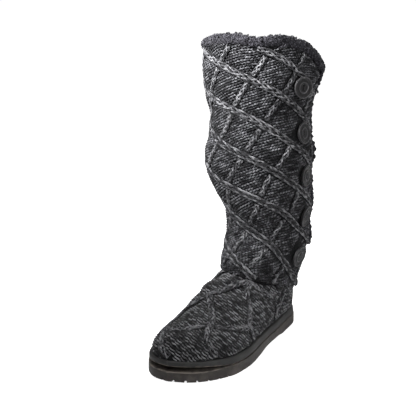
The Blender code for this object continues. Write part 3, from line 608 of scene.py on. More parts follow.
Instep = namedtuple("Instep", "along ridge shift power drawn")
INSTEP = [Instep(*row) for row in (
    (0.000, 2.60, 0.00, 2.4, 1.00), (0.131, 2.60, 0.00, 2.4, 1.00),
    (0.240, 2.20, 0.02, 2.4, 1.00), (0.313, 1.70, 0.00, 2.3, 0.99),
    (0.385, 1.27, -0.02, 2.1, 0.98), (0.460, 1.05, -0.04, 1.9, 0.97),
    (0.505, 0.983, -0.04, 1.8, 0.97), (0.550, 0.905, -0.04, 1.8, 0.97),
    (0.600, 0.818, -0.04, 1.8, 0.97), (0.650, 0.728, -0.04, 1.8, 0.97),
    (0.700, 0.645, -0.04, 1.8, 0.97), (0.750, 0.578, -0.04, 1.8, 0.965),
    (0.800, 0.525, -0.04, 1.8, 0.96), (0.850, 0.487, -0.04, 1.85, 0.95),
    (0.905, 0.440, -0.04, 1.9, 0.94), (0.945, 0.360, -0.05, 2.0, 0.94),
    (0.975, 0.255, -0.06, 2.1, 0.95), (0.990, 0.140, -0.08, 2.2, 0.96),
    (1.000, 0.000, -0.10, 2.3, 1.00),
)]

Leg = namedtuple("Leg", "up side fore width depth twist")
LEG = [Leg(*row) for row in (
    (0.119, 0.030, -0.170, 0.590, 0.938, 0.033), (0.173, 0.062, -0.190, 0.585, 1.003, 0.042),
    (0.209, 0.082, -0.190, 0.600, 1.036, 0.042), (0.251, 0.086, -0.165, 0.680, 1.052, 0.042),
    (0.284, 0.090, -0.135, 0.706, 0.990, 0.033), (0.316, 0.090, -0.105, 0.722, 0.935, 0.025),
    (0.370, 0.084, -0.092, 0.700, 0.920, 0.017), (0.424, 0.084, -0.096, 0.775, 0.938, 0.008),
    (0.454, 0.060, -0.107, 0.830, 0.954, 0.008), (0.504, 0.024, -0.123, 0.900, 0.987, 0.0),
    (0.549, -0.002, -0.131, 0.950, 1.003, 0.0), (0.603, 0.006, -0.139, 0.985, 1.020, 0.0),
    (0.669, 0.009, -0.139, 0.915, 0.987, 0.0), (0.728, 0.013, -0.139, 0.902, 0.987, 0.0),
    (0.797, 0.000, -0.148, 0.965, 0.979, 0.0), (0.881, -0.015, -0.148, 0.995, 0.979, 0.0),
    (0.967, -0.028, -0.152, 0.948, 0.962, 0.0), (1.030, -0.033, -0.156, 0.908, 0.938, 0.0),
)]


def knit_foot(along):
    return foxing_top(along) + FIT_GAP


def ridge_height(along):
    rise = INSTEP_HEIGHT - knit_foot(0)
    return knit_foot(along) + read_table(INSTEP, along, "ridge") * rise


def seam_height(y):
    return SEAM_HEIGHT + SEAM_RISE_FORE * (y - SEAM_FORE)


def slice_height(along, rise):
    return mix(knit_foot(along), seam_height(HEEL_REACH - along * SOLE_LENGTH), rise)


def slice_half(along, rise, side):
    """Where the foot's section at one place is cut by the slice at one rise."""
    height = slice_height(along, rise) - knit_foot(along)
    share = min(max(height / max(ridge_height(along) - knit_foot(along), 1e-6), 0.0), 1.0)
    power = read_table(INSTEP, along, "power")
    tuck = 1 - FEATHER_TUCK * (1 - ramp(share, 0.0, FEATHER_REACH)) ** 2
    if side < 0:
        tuck *= read_table(INSTEP, along, "drawn")
    half = plan_half(along, side) * (1 - FEATHER_INSET / (BALL_WIDTH / 2)) * tuck
    shift = read_table(INSTEP, along, "shift") * share * BALL_WIDTH / 2
    return side * half * (1 - share ** power) ** (1 / power) + shift


def last_place(low, high, holds, rounds):
    """Furthest place between two where a condition still holds, found by halves."""
    for _ in range(rounds):
        middle = (low + high) / 2
        if holds(middle):
            low = middle
        else:
            high = middle
    return low


def slice_front(rise):
    """Foremost place of the slice, where its height meets the ridge."""
    if rise <= 0:
        return 1.0
    return last_place(0.40, 1.0, lambda at: ridge_height(at) > slice_height(at, rise), 40)


def even_ring(points, count):
    """Points at even steps round a closed line, from its first point."""
    loop = np.array([tuple(p) for p in points] + [tuple(points[0])])
    lengths = np.concatenate(([0.0], np.cumsum(np.linalg.norm(np.diff(loop, axis=0), axis=1))))
    steps = lengths[-1] * np.arange(count) / count
    return np.stack([np.interp(steps, lengths, loop[:, k]) for k in range(3)], axis=1)


def foot_slice(rise, count):
    """Closed line round the foot, from the toe round the outer side and the heel."""
    front = slice_front(rise)
    outer = []
    inner = []
    inset = 1 - 2 * FEATHER_INSET / SOLE_LENGTH
    for j in range(SLICE_STEPS + 1):
        along = front * (1 - math.cos(math.pi * j / SLICE_STEPS)) / 2
        y = SOLE_MIDDLE + (HEEL_REACH - along * SOLE_LENGTH - SOLE_MIDDLE) * inset
        for side, line in ((1, outer), (-1, inner)):
            x = slice_half(along, rise, side)
            line.append((x, y, slice_height(along, rise) + SEAM_RISE_SIDE * x * rise * rise))
    return even_ring(list(reversed(outer)) + inner[1:-1], count)


def leg_frame(turn, z):
    """Point of the leg's outline and its level outward direction."""
    up = z / LEG_HEIGHT
    angle = math.radians(turn)
    width = read_table(LEG, up, "width") * CALF_WIDTH / 2
    depth = read_table(LEG, up, "depth") * CALF_DEPTH / 2
    twist = read_table(LEG, up, "twist") * CALF_WIDTH
    x = read_table(LEG, up, "side") * CALF_WIDTH + width * math.sin(angle) - twist * math.cos(angle)
    y = read_table(LEG, up, "fore") * CALF_DEPTH - depth * math.cos(angle)
    out = Vector((depth * math.sin(angle), -(width * math.cos(angle) + twist * math.sin(angle)), 0))
    return Vector((x, y, z)), out.normalized()


def seam_point(turn, offset):
    """Point of the leg's outline on the ankle seam, moved out by the offset."""
    z = SEAM_HEIGHT
    for _ in range(6):
        point, out = leg_frame(turn, z)
        point += out * offset
        z = seam_height(point.y) + SEAM_RISE_SIDE * point.x
    return Vector((point.x, point.y, z))


def foot_form():
    """Grid of points of the foot's outer form, from the sole's edge up to the ankle seam."""
    throat = [seam_point(360 * i / THROAT_STEPS, -THROAT_INSET * UPPER_WALL)
              for i in range(THROAT_STEPS)]
    start = Vector(foot_slice(1.0, FOOT_RING)[0])
    first = min(range(THROAT_STEPS), key=lambda i: (throat[i] - start).length)
    throat = even_ring(throat[first:] + throat[:first], FOOT_RING)
    rings = []
    for level in range(FOOT_LEVELS + 1):
        rise = level / FOOT_LEVELS
        rings.append(mix(foot_slice(rise, FOOT_RING), throat, ease(rise, THROAT_START, 1.0)))
    return np.array(rings)


FOOT_FORM = foot_form()


def grid_normals(grid, closed):
    """Outward directions of a grid of points whose second axis runs round the piece."""
    if closed:
        across = np.roll(grid, -1, axis=1) - np.roll(grid, 1, axis=1)
    else:
        across = np.gradient(grid, axis=1)
    along = np.gradient(grid, axis=0)
    out = np.cross(across, along)
    return out / np.maximum(np.linalg.norm(out, axis=2, keepdims=True), 1e-9)


FOOT_OUT = grid_normals(FOOT_FORM, True)
foot_tuck = SEAM_TUCK * ramp(np.arange(FOOT_LEVELS + 1) / FOOT_LEVELS, TUCK_START, 1.0) ** 2
FOOT_FORM -= FOOT_OUT * foot_tuck[:, None, None]


def read_grid(grid, columns, rows, closed):
    """Values of a grid between its points, at places counted in grid steps."""
    count = grid.shape[1]
    rows = np.clip(rows, 0, grid.shape[0] - 1.0001)
    if closed:
        columns = columns % count
    else:
        columns = np.clip(columns, 0, count - 1.0001)
    i, j = rows.astype(int), columns.astype(int)
    fi, fj = (rows - i)[..., None], (columns - j)[..., None]
    beside = (j + 1) % count
    low = grid[i, j] * (1 - fj) + grid[i, beside] * fj
    high = grid[i + 1, j] * (1 - fj) + grid[i + 1, beside] * fj
    return low * (1 - fi) + high * fi


def on_foot(turn, rise):
    """Points of the foot and their outward directions. The turn counts from the toe round
    the outer side, and the rise from the foxing to the ankle seam."""
    columns, rows = np.asarray(turn) * FOOT_RING, np.asarray(rise) * FOOT_LEVELS
    out = read_grid(FOOT_OUT, columns, rows, True)
    out /= np.linalg.norm(out, axis=-1, keepdims=True)
    return read_grid(FOOT_FORM, columns, rows, True), out


FootCable = namedtuple("FootCable", "turn rise to_turn to_rise")
FOOT_CABLES = [FootCable(*row) for row in (
    (0.000, 0.04, -0.050, 0.27), (-0.050, 0.27, 0.037, 0.36), (0.037, 0.36, 0.175, 0.24),
    (0.175, 0.24, 0.248, 0.02), (0.080, 0.03, 0.047, 0.34), (0.047, 0.34, -0.013, 0.67),
    (0.205, 0.02, 0.175, 0.24), (0.175, 0.24, 0.057, 0.97), (0.326, 0.04, 0.286, 0.80),
    (-0.013, 0.67, 0.064, 0.90), (0.064, 0.90, 0.249, 0.62), (-0.050, 0.27, -0.175, 0.22),
    (-0.175, 0.22, -0.235, 0.02), (-0.013, 0.67, -0.085, 0.34), (-0.085, 0.34, -0.115, 0.03),
    (-0.057, 0.97, -0.180, 0.36), (-0.180, 0.36, -0.225, 0.03), (-0.326, 0.04, -0.286, 0.80),
    (0.440, 0.06, 0.405, 0.90), (-0.440, 0.06, -0.405, 0.90),
)]


def foot_cable_lines():
    """Each cable of the foot as a chain of points along it, in turn and rise."""
    share = np.linspace(0, 1, 60)
    return [(mix(cable.turn, cable.to_turn, share), mix(cable.rise, cable.to_rise, share))
            for cable in FOOT_CABLES]


def tree_of(points):
    """Points in order for finding the nearest one."""
    tree = kdtree.KDTree(len(points))
    for index, point in enumerate(points):
        tree.insert(point, index)
    tree.balance()
    return tree


foot_cable_tree = tree_of(np.concatenate([on_foot(*line)[0] for line in foot_cable_lines()]))


def cable_distance(tree, points):
    """How far each point is from the middle of the nearest cable."""
    return np.array([tree.find(point)[2] for point in points])


PUFF = 0.0011
PUFF_REACH = 3.2 * CABLE_HALF
GUTTER = 0.0011
GUTTER_PLACE = 1.1 * CABLE_HALF
GUTTER_WIDTH = 0.5 * CABLE_HALF
ANKLE_CREASE = 0.0013
CREASE_WAVES = (95, 430)
CREASE_FORE = (-0.03, 0.06)
CREASE_RISE = (0.045, 0.07)
VAMP_SLACK = 0.0009
SLACK_WAVES = (40, 70, 55)
SLACK_SHIFT = (1.0, 0.6)
SLACK_RISE = (0.022, 0.04)
EDGE_FADE = 0.05
KNIT_SINK = 0.0009
WALL_CREASE = 60


def ground_relief(distance):
    """Ground knit between cables: puffed in the middle, drawn in beside a cable."""
    puffed = PUFF * ease(distance, CABLE_HALF, PUFF_REACH)
    drawn = GUTTER * np.exp(-((distance - GUTTER_PLACE) / GUTTER_WIDTH) ** 2)
    return puffed - drawn


def foot_folds(points):
    """Small soft creases where the foot meets the ankle, and slack over the vamp."""
    x, y, z = points[:, 0], points[:, 1], points[:, 2]
    ankle = np.sin(CREASE_WAVES[1] * z + CREASE_WAVES[0] * x)
    ankle = ankle * ease(-y, *CREASE_FORE) * ease(z, *CREASE_RISE)
    slack = np.sin(SLACK_WAVES[1] * y + SLACK_WAVES[0] * x + SLACK_SHIFT[0])
    slack = slack * np.sin(SLACK_WAVES[2] * x - SLACK_SHIFT[1]) * ease(z, *SLACK_RISE)
    return ANKLE_CREASE * ankle + VAMP_SLACK * slack


def closed_wall(outer, inner, closed):
    """Closed wall between an outer and an inner grid of points."""
    bm = bmesh.new()
    rows, columns = outer.shape[:2]
    sheets = [[[bm.verts.new(grid[i, j]) for j in range(columns)] for i in range(rows)]
              for grid in (outer, inner)]
    last = columns if closed else columns - 1
    for i in range(rows - 1):
        for j in range(last):
            k = (j + 1) % columns
            for sheet in sheets:
                bm.faces.new((sheet[i][j], sheet[i][k], sheet[i + 1][k], sheet[i + 1][j]))
    for i in (0, rows - 1):
        for j in range(last):
            k = (j + 1) % columns
            bm.faces.new((sheets[0][i][j], sheets[0][i][k], sheets[1][i][k], sheets[1][i][j]))
    if not closed:
        for j in (0, columns - 1):
            for i in range(rows - 1):
                bm.faces.new((sheets[0][i][j], sheets[0][i + 1][j],
                              sheets[1][i + 1][j], sheets[1][i][j]))
    bmesh.ops.recalc_face_normals(bm, faces=bm.faces[:])
    return bm


FLECK_SHARE = 0.68
FUZZ_SHARE = 0.32
CLOUD_SHARE = 0.11
MIDDLE_SPAN = (0.36, 0.53)
PALE_START = 0.60
PALE_REACH = 0.24
PALE_SOFT = 0.13
PAINTED_SHADE_SHARE = 0.85
PAINTED_SHADE_DEPTH = -0.9


def wool_group():
    """Marled yarn: dark, middle and pale fibres twisted together, with loose fuzz, and painted
    shade where a strand dives.
    """
    tree, given = node_group(
        "marled_wool", "ShaderNodeTree",
        {"Dark": "Color", "Middle": "Color", "Pale": "Color", "Pale Share": "Float",
         "Painted Shade": "Float", "Fleck Place": "Vector"},
        {"Colour": "Color", "Height": "Float"})
    place = object_place(tree)
    fleck = noise(tree, given["Fleck Place"], 1.0, 1.5, 0.55)
    fine = noise(tree, place, 1150.0, 3.0, 0.7)
    cloud = math_node(tree, "SUBTRACT", noise(tree, place, 38.0), 0.5)
    blend = plus(tree, times(tree, fleck, FLECK_SHARE), times(tree, fine, FUZZ_SHARE))
    shade = plus(tree, blend, times(tree, cloud, CLOUD_SHARE))
    low = plus(tree, PALE_START, times(tree, given["Pale Share"], -PALE_REACH))
    pale = ramp_node(tree, shade, low, plus(tree, low, PALE_SOFT))
    base = mix_colours(tree, ramp_node(tree, shade, *MIDDLE_SPAN), given["Dark"], given["Middle"])
    colour = mix_colours(tree, pale, base, given["Pale"])
    # Painted shade: the colour is drawn towards the dark fibres by the share of shade given for a
    # diving strand.
    painted_shade = mix_colours(tree, given["Painted Shade"], colour, given["Dark"])
    return group_result(tree, painted_shade, plus(tree, fine, times(tree, fleck, 0.5)))


marled_wool = wool_group()


def wool_material(name, dark, middle, pale, pale_share, fleck, bump, spun=False, painted_shade_start=0.15):
    """One wool finish in three shades. Its flecks follow the strand where it is spun, and the
    strand is painted darker, as shade, where it dives under its neighbours."""
    material, tree, shader = new_material(name)
    if spun:
        strand = add_node(tree, "ShaderNodeAttribute", attribute_name="strand_place")
        place = add_node(tree, "ShaderNodeVectorMath", operation="MULTIPLY",
                         inputs={0: strand.outputs["Vector"], 1: (1 / fleck, 1.0, 0.0)})
        depth = add_node(tree, "ShaderNodeSeparateXYZ", inputs={0: strand.outputs["Vector"]})
        # Painted shade: how far the strand has dived under its neighbours sets how much dark shade
        # is painted on it.
        painted_shade = times(tree, ramp_node(tree, depth.outputs[2], painted_shade_start, PAINTED_SHADE_DEPTH), PAINTED_SHADE_SHARE)
    else:
        place = add_node(tree, "ShaderNodeVectorMath", operation="SCALE",
                         inputs={0: object_place(tree), "Scale": 1 / fleck})
        painted_shade = 0.0
    group = add_node(tree, "ShaderNodeGroup", node_tree=marled_wool,
                     inputs={"Dark": linear(*dark), "Middle": linear(*middle),
                             "Pale": linear(*pale), "Pale Share": pale_share,
                             "Fleck Place": place.outputs[0], "Painted Shade": painted_shade})
    finish_shader(tree, shader, group.outputs[0], group.outputs[1], bump, 0.0005,
                  {"Roughness": 0.95, "Specular IOR Level": 0.15, "Sheen Weight": 0.08,
                   "Sheen Roughness": 0.5})
    return material


# Painted shade: the knit's backing is a near black copy of the yarn, standing in for the shade in
# the gaps between the rows.
shade_backing_wool = wool_material("knit_backing_painted_shade", (13, 13, 14), (28, 28, 30), (60, 60, 63),
                             pale_share=0.2, fleck=0.0012, bump=0.8)
lining_wool = wool_material("lining", (30, 30, 33), (58, 58, 63), (96, 96, 102),
                            pale_share=0.35, fleck=0.0016, bump=1.0)

foot_distance = cable_distance(foot_cable_tree, FOOT_FORM.reshape(-1, 3))
foot_raise = ground_relief(foot_distance) + foot_folds(FOOT_FORM.reshape(-1, 3))
foot_levels = np.repeat(np.arange(FOOT_LEVELS + 1) / FOOT_LEVELS, FOOT_RING)
foot_raise *= ramp(foot_levels, 0.0, EDGE_FADE) * ramp(1 - foot_levels, 0.0, EDGE_FADE)
foot_raise = foot_raise.reshape(FOOT_LEVELS + 1, FOOT_RING)
FOOT_WALL = FOOT_FORM + FOOT_OUT * (foot_raise - KNIT_SINK)[..., None]


def lined_wall(name, outer, inner, closed, node):
    """Wall object whose outer side shows the knit's backing, painted near black as the shade
    between the rows, and whose inside is lined.
    """
    item = object_of(name, closed_wall(outer, inner, closed), shade_backing_wool, WALL_CREASE)
    item.data.materials.append(lining_wool)
    faces = (outer.shape[0] - 1) * (outer.shape[1] - (0 if closed else 1))
    for index in range(1, 2 * faces, 2):
        item.data.polygons[index].material_index = 1
    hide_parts(node)
    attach(item, "root")


foot_level_out = FOOT_OUT.copy()
foot_tilt = ramp(foot_levels, 0, 0.01) * ramp(1 - foot_levels, 0.05, 0.35)
foot_level_out[..., 2] *= foot_tilt.reshape(FOOT_LEVELS + 1, FOOT_RING)
foot_level_out /= np.linalg.norm(foot_level_out, axis=2, keepdims=True)
lined_wall("foot_wall", FOOT_WALL, FOOT_FORM - foot_level_out * UPPER_WALL, True, "foot_upper")


# Knitted foot: the rows
# Purl rows run slantwise over the vamp and down both sides. Each row is one wavy yarn that
# stops at a cable, and neighbouring rows wave half a stitch apart.

ROW_LIFT = 0.0004
STITCH_WIDTH = 0.0042
FOOT_ROW_PITCH = 0.0026
FOOT_ROW_NORMAL = Vector((0.50, 0.55, 0.67)).normalized()
FOOT_ROW_CLEAR = 0.85
YARN_UNEVEN = (0.72, 1.28)
ROW_LANE = 14.6
ROW_PHASE = 0.5


def named_value(tree, name, kind="FLOAT"):
    """Value that the lines carry under a name."""
    return add_node(tree, "GeometryNodeInputNamedAttribute", data_type=kind,
                    inputs={"Name": name}).outputs[0]


def chance_node(tree, low, high, seed):
    """Number between two others, drawn anew for each point."""
    return add_node(tree, "FunctionNodeRandomValue", data_type="FLOAT",
                    inputs={2: low, 3: high, "Seed": seed}).outputs[1]


def scaled(tree, way, amount):
    return add_node(tree, "ShaderNodeVectorMath", operation="SCALE",
                    inputs={0: way, "Scale": amount}).outputs[0]


def evened(tree, curve, step):
    """Curve with points at even steps."""
    return add_node(tree, "GeometryNodeResampleCurve", mode="LENGTH",
                    inputs={"Curve": curve, "Length": step}).outputs[0]


def tube_of(tree, curve, sides, radius):
    """Smooth closed tube round a curve."""
    ring = add_node(tree, "GeometryNodeCurvePrimitiveCircle",
                    inputs={"Resolution": sides, "Radius": radius})
    tube = add_node(tree, "GeometryNodeCurveToMesh",
                    inputs={"Curve": curve, "Profile Curve": ring.outputs[0], "Fill Caps": True})
    return add_node(tree, "GeometryNodeSetShadeSmooth", inputs={0: tube.outputs[0]}).outputs[0]


def strand_tubes(tree, path, sway, height, strand_place, thickness, sides, radius):
    """Tubes along a path that sways to its side and stands off the surface. They keep the place
    along and across the strand for the wool's flecks, and how high it stands for its painted shade."""
    across = scaled(tree, named_value(tree, "side", "FLOAT_VECTOR"), sway)
    away = scaled(tree, named_value(tree, "out", "FLOAT_VECTOR"), height)
    shift = add_node(tree, "ShaderNodeVectorMath", operation="ADD", inputs={0: across, 1: away})
    moved = add_node(tree, "GeometryNodeSetPosition",
                     inputs={"Geometry": path, "Offset": shift.outputs[0]})
    where = add_node(tree, "ShaderNodeCombineXYZ", inputs=dict(enumerate(strand_place)))
    kept = add_node(tree, "GeometryNodeStoreNamedAttribute", data_type="FLOAT_VECTOR",
                    domain="POINT", inputs={"Geometry": moved.outputs[0], "Name": "strand_place",
                                            "Value": where.outputs[0]})
    thick = add_node(tree, "GeometryNodeSetCurveRadius",
                     inputs={0: kept.outputs[0], "Radius": thickness})
    return tube_of(tree, thick.outputs[0], sides, radius)


def made_real(tree, made, material):
    """Ends a tree: real faces with their material."""
    real = add_node(tree, "GeometryNodeRealizeInstances", inputs={0: made})
    finish = add_node(tree, "GeometryNodeSetMaterial",
                      inputs={"Geometry": real.outputs[0], "Material": material})
    return group_result(tree, finish.outputs[0])


def yarn_tree():
    """Rows of knitting: every line of the mesh becomes one wavy yarn on its surface."""
    tree, given = node_group(
        "purl_rows", "GeometryNodeTree",
        {"Lines": "Geometry", "Stitch Width": "Float", "Wave": "Float", "Lift": "Float",
         "Yarn Radius": "Float", "Sides": "Int", "Seed": "Int", "Material": "Material"},
        {"Yarn": "Geometry"})
    curve = add_node(tree, "GeometryNodeMeshToCurve", inputs={0: given["Lines"]}).outputs[0]
    path = evened(tree, curve, math_node(tree, "DIVIDE", given["Stitch Width"], 4.0))
    phase = named_value(tree, "phase")
    gone = add_node(tree, "GeometryNodeSplineParameter").outputs["Length"]
    turns = plus(tree, math_node(tree, "DIVIDE", gone, given["Stitch Width"]), phase)
    angle = times(tree, turns, 2 * math.pi)
    jitter = chance_node(tree, *YARN_UNEVEN, given["Seed"])
    sway = times(tree, times(tree, math_node(tree, "SINE", angle), given["Wave"]), jitter)
    rising = math_node(tree, "COSINE", angle)
    yarn = strand_tubes(tree, path, sway, times(tree, rising, given["Lift"]),
                        (gone, times(tree, phase, ROW_LANE), rising), jitter, given["Sides"],
                        given["Yarn Radius"])
    return made_real(tree, yarn, given["Material"])


def lines_object(name, lines):
    """Mesh of open chains of points that carry the surface's directions and a phase."""
    points, edges, sides, outs, phases = [], [], [], [], []
    for place, out, phase in lines:
        way = np.gradient(place, axis=0)
        side = np.cross(out, way)
        side /= np.maximum(np.linalg.norm(side, axis=1, keepdims=True), 1e-9)
        start = len(points)
        points.extend(place)
        sides.extend(side)
        outs.extend(out)
        phases.extend([phase] * len(place))
        edges.extend((start + i, start + i + 1) for i in range(len(place) - 1))
    mesh = bpy.data.meshes.new(name)
    mesh.from_pydata([tuple(p) for p in points], edges, [])
    for label, kind, key, values in (("side", "FLOAT_VECTOR", "vector", sides),
                                     ("out", "FLOAT_VECTOR", "vector", outs),
                                     ("phase", "FLOAT", "value", phases)):
        layer = mesh.attributes.new(label, kind, "POINT")
        layer.data.foreach_set(key, np.asarray(values, dtype=np.float32).ravel())
    item = bpy.data.objects.new(name, mesh)
    bpy.context.scene.collection.objects.link(item)
    return item


def run_tree(item, tree, settings):
    """The object's mesh becomes the tree's result, without the values only the tree needs."""
    modifier = item.modifiers.new("yarn", "NODES")
    modifier.node_group = tree
    for socket in tree.interface.items_tree:
        if socket.in_out == "INPUT" and socket.name in settings:
            modifier[socket.identifier] = settings[socket.name]
    item.update_tag()
    bpy.context.view_layer.update()
    applied(item)
    for name in ("side", "out", "phase", "strand"):
        if name in item.data.attributes:
            item.data.attributes.remove(item.data.attributes[name])
    return item


def runs_of(keep, shortest=3):
    """Start and end of each run of kept points that is long enough."""
    edges = np.flatnonzero(np.diff(np.concatenate(([0], keep.astype(int), [0]))))
    return [(a, b) for a, b in zip(edges[::2], edges[1::2]) if b - a >= shortest]


def plane_chains(bm, normal, offset):
    """Chains of points where a plane cuts the mesh."""
    whole = bm.verts[:] + bm.edges[:] + bm.faces[:]
    cut = bmesh.ops.bisect_plane(bm, geom=whole, dist=1e-7, plane_co=normal * offset,
                                 plane_no=normal)
    edges = [e for e in cut["geom_cut"] if isinstance(e, bmesh.types.BMEdge)]
    near = {}
    for edge in edges:
        for vert in edge.verts:
            near.setdefault(vert, []).append(edge)
    left = set(edges)
    chains = []
    starts = [v for v in near if len(near[v]) == 1] + list(near)
    for start in starts:
        if not any(edge in left for edge in near[start]):
            continue
        chain = [start]
        while True:
            onward = [edge for edge in near[chain[-1]] if edge in left]
            if not onward:
                break
            left.discard(onward[0])
            chain.append(onward[0].other_vert(chain[-1]))
        chains.append(chain)
    return chains


def foot_rows():
    """Lines of the foot's purl rows, broken at the cables."""
    bm = bmesh.new()
    join_rings(bm, [[bm.verts.new(point) for point in level] for level in FOOT_WALL])
    reach = [FOOT_ROW_NORMAL.dot(v.co) for v in bm.verts]
    first, last = int(min(reach) / FOOT_ROW_PITCH), int(max(reach) / FOOT_ROW_PITCH)
    lines = []
    for number in range(first, last + 1):
        for chain in plane_chains(bm, FOOT_ROW_NORMAL, number * FOOT_ROW_PITCH):
            place = np.array([v.co[:] for v in chain])
            out = np.array([sum((f.normal for f in v.link_faces), Vector())[:] for v in chain])
            out /= np.maximum(np.linalg.norm(out, axis=1, keepdims=True), 1e-9)
            keep = cable_distance(foot_cable_tree, place) > FOOT_ROW_CLEAR * CABLE_HALF
            for a, b in runs_of(keep):
                lines.append((place[a:b] + out[a:b] * ROW_LIFT, out[a:b], ROW_PHASE * number))
    bm.free()
    return lines


ground_wool = wool_material("ground_yarn", (21, 21, 23), (66, 66, 69), (118, 118, 122),
                            pale_share=0.50, fleck=0.0110, bump=0.6, spun=True)
# Painted light: the foot's yarn is a lighter copy of the ground yarn, standing in for the light on
# the vamp, and less of it is painted with dive shade.
lit_foot_wool = wool_material("foot_yarn_painted_light", (27, 27, 29), (82, 82, 84), (136, 136, 139),
                          pale_share=0.60, fleck=0.0130, bump=0.6, spun=True, painted_shade_start=-0.30)
purl_tree = yarn_tree()
PURL = {"Stitch Width": STITCH_WIDTH, "Wave": 0.00034, "Lift": 0.00052, "Yarn Radius": 0.00098,
        "Sides": 4, "Seed": 3, "Material": ground_wool}
FOOT_PURL = {**PURL, "Stitch Width": 2 * STITCH_WIDTH, "Wave": 0.00050, "Lift": 0.00026,
             "Yarn Radius": 0.00080, "Material": lit_foot_wool}
foot_ground = run_tree(lines_object("foot_rows", foot_rows()), purl_tree, FOOT_PURL)
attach(foot_ground, "root")


# Knitted foot: the cables
# Each cable is a plait of thick strands, worked in paler yarn and standing above the ground.
# The cables fan over the vamp and meet in points at the toe and on both sides.

STRAND_UNEVEN = (0.84, 1.16)
STRAND_LANE = 9.1
CABLE_PHASE = 4.0


def plait_tree():
    """Plaited cable: every line of the mesh becomes a plait of strands."""
    tree, given = node_group(
        "plaited_cable", "GeometryNodeTree",
        {"Lines": "Geometry", "Plait Length": "Float", "Spread": "Float", "Lift": "Float",
         "Raise": "Float", "Strand Radius": "Float", "Step": "Float", "Strands": "Int",
         "Crossings": "Int", "Sides": "Int", "Seed": "Int", "Material": "Material"},
        {"Cable": "Geometry"})
    curve = add_node(tree, "GeometryNodeMeshToCurve", inputs={0: given["Lines"]})
    copies = add_node(tree, "GeometryNodeDuplicateElements", domain="SPLINE",
                      inputs={"Geometry": curve.outputs[0], "Amount": given["Strands"]})
    numbered = add_node(tree, "GeometryNodeStoreNamedAttribute", data_type="FLOAT", domain="CURVE",
                        inputs={"Geometry": copies.outputs[0], "Name": "strand",
                                "Value": copies.outputs["Duplicate Index"]})
    path = evened(tree, numbered.outputs[0], given["Step"])
    strand = named_value(tree, "strand")
    gone = add_node(tree, "GeometryNodeSplineParameter").outputs["Length"]
    share = math_node(tree, "DIVIDE", strand, given["Strands"])
    turns = plus(tree, math_node(tree, "DIVIDE", gone, given["Plait Length"]), share)
    angle = times(tree, turns, 2 * math.pi)
    sway = times(tree, math_node(tree, "SINE", angle), given["Spread"])
    weave = math_node(tree, "COSINE", times(tree, angle, given["Crossings"]))
    height = plus(tree, times(tree, weave, given["Lift"]), given["Raise"])
    lane = times(tree, plus(tree, strand, named_value(tree, "phase")), STRAND_LANE)
    cable = strand_tubes(tree, path, sway, height, (gone, lane, weave),
                         chance_node(tree, *STRAND_UNEVEN, given["Seed"]), given["Sides"],
                         given["Strand Radius"])
    return made_real(tree, cable, given["Material"])


cable_wool = wool_material("cable_yarn", (28, 28, 30), (82, 82, 85), (136, 136, 139),
                           pale_share=0.58, fleck=0.0090, bump=0.9, spun=True)
cable_tree = plait_tree()
BRAID = {"Plait Length": 0.056, "Spread": 0.0030, "Lift": 0.00055, "Raise": 0.0012,
         "Strand Radius": 0.00092, "Step": 0.0017, "Strands": 5, "Crossings": 2, "Sides": 5,
         "Seed": 5, "Material": cable_wool}
FOOT_BRAID = {**BRAID, "Plait Length": 0.046, "Spread": 0.0032, "Raise": 0.0009,
              "Strand Radius": 0.00082}
foot_cables = []
for number, (turn, rise) in enumerate(foot_cable_lines()):
    place, out = on_foot(turn, rise)
    foot_cables.append((place - out * KNIT_SINK, out, CABLE_PHASE * number))
foot_plaits = run_tree(lines_object("foot_cables", foot_cables), cable_tree, FOOT_BRAID)
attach(foot_plaits, "root")


# Knitted leg: the wall
# One knitted sheet wraps the leg from under the flap round the inner side and back over to
# the flap's free edge. It is lined, sags in soft folds at the ankle, and flares at the flap.

LAYER_GAP = 0.0016
FLAP_FLARE = 0.0125
UNDER_START = 72.0
FLAP_END = 475.0
FLAP_LEAN = 15.0
GIRTH = math.pi * (CALF_WIDTH + CALF_DEPTH) / 2
SHEET_FOOT = 0.18 * LEG_HEIGHT
SHEET_TOP = 0.97 * LEG_HEIGHT
LOW_PART_END = 0.33 * LEG_HEIGHT
HIGH_PART_START = 0.80 * LEG_HEIGHT
LINE_BOW = 0.015
BOW_TURN = 25
UNDER_SPAN = (126, 152)
LIP_OUT = 0.0008
LIP_START = 450
LEAN_START = 405
FLARE_START = 415
FLARE_CURVE = 1.6
FLAP_LOOSE = 0.76
SAG_SOFT = 0.02


def round_leg(turn):
    """Way round the sheet to a turn in degrees."""
    return turn * GIRTH / 360


SHEET_START = round_leg(UNDER_START)
SHEET_END = round_leg(FLAP_END)

Rim = namedtuple("Rim", "turn height")
RIM = [Rim(*row) for row in (
    (72.0, 0.855), (112.0, 0.865), (124.0, 0.895), (135.0, 0.912), (150.0, 0.926),
    (165.0, 0.936), (180.0, 0.942), (225.0, 0.946), (270.0, 0.947), (295.0, 0.950),
    (320.0, 0.963), (345.0, 0.975), (362.0, 0.976), (384.0, 0.966), (405.0, 0.970),
    (418.0, 0.966), (430.0, 0.957), (445.0, 0.945), (460.0, 0.920), (475.0, 0.885),
)]

Fold = namedtuple("Fold", "turn height across along slope out")
FOLDS = [Fold(*row) for row in (
    (372.0, 0.355, 62.0, 0.036, -0.0014, -0.036), (365.0, 0.262, 70.0, 0.034, -0.0006, 0.016),
    (385.0, 0.470, 58.0, 0.036, -0.0016, 0.014), (330.0, 0.720, 60.0, 0.042, -0.0012, -0.012),
    (190.0, 0.330, 60.0, 0.040, 0.0010, -0.030), (200.0, 0.500, 70.0, 0.045, 0.0008, 0.014),
    (150.0, 0.700, 60.0, 0.040, -0.0010, -0.014),
)]

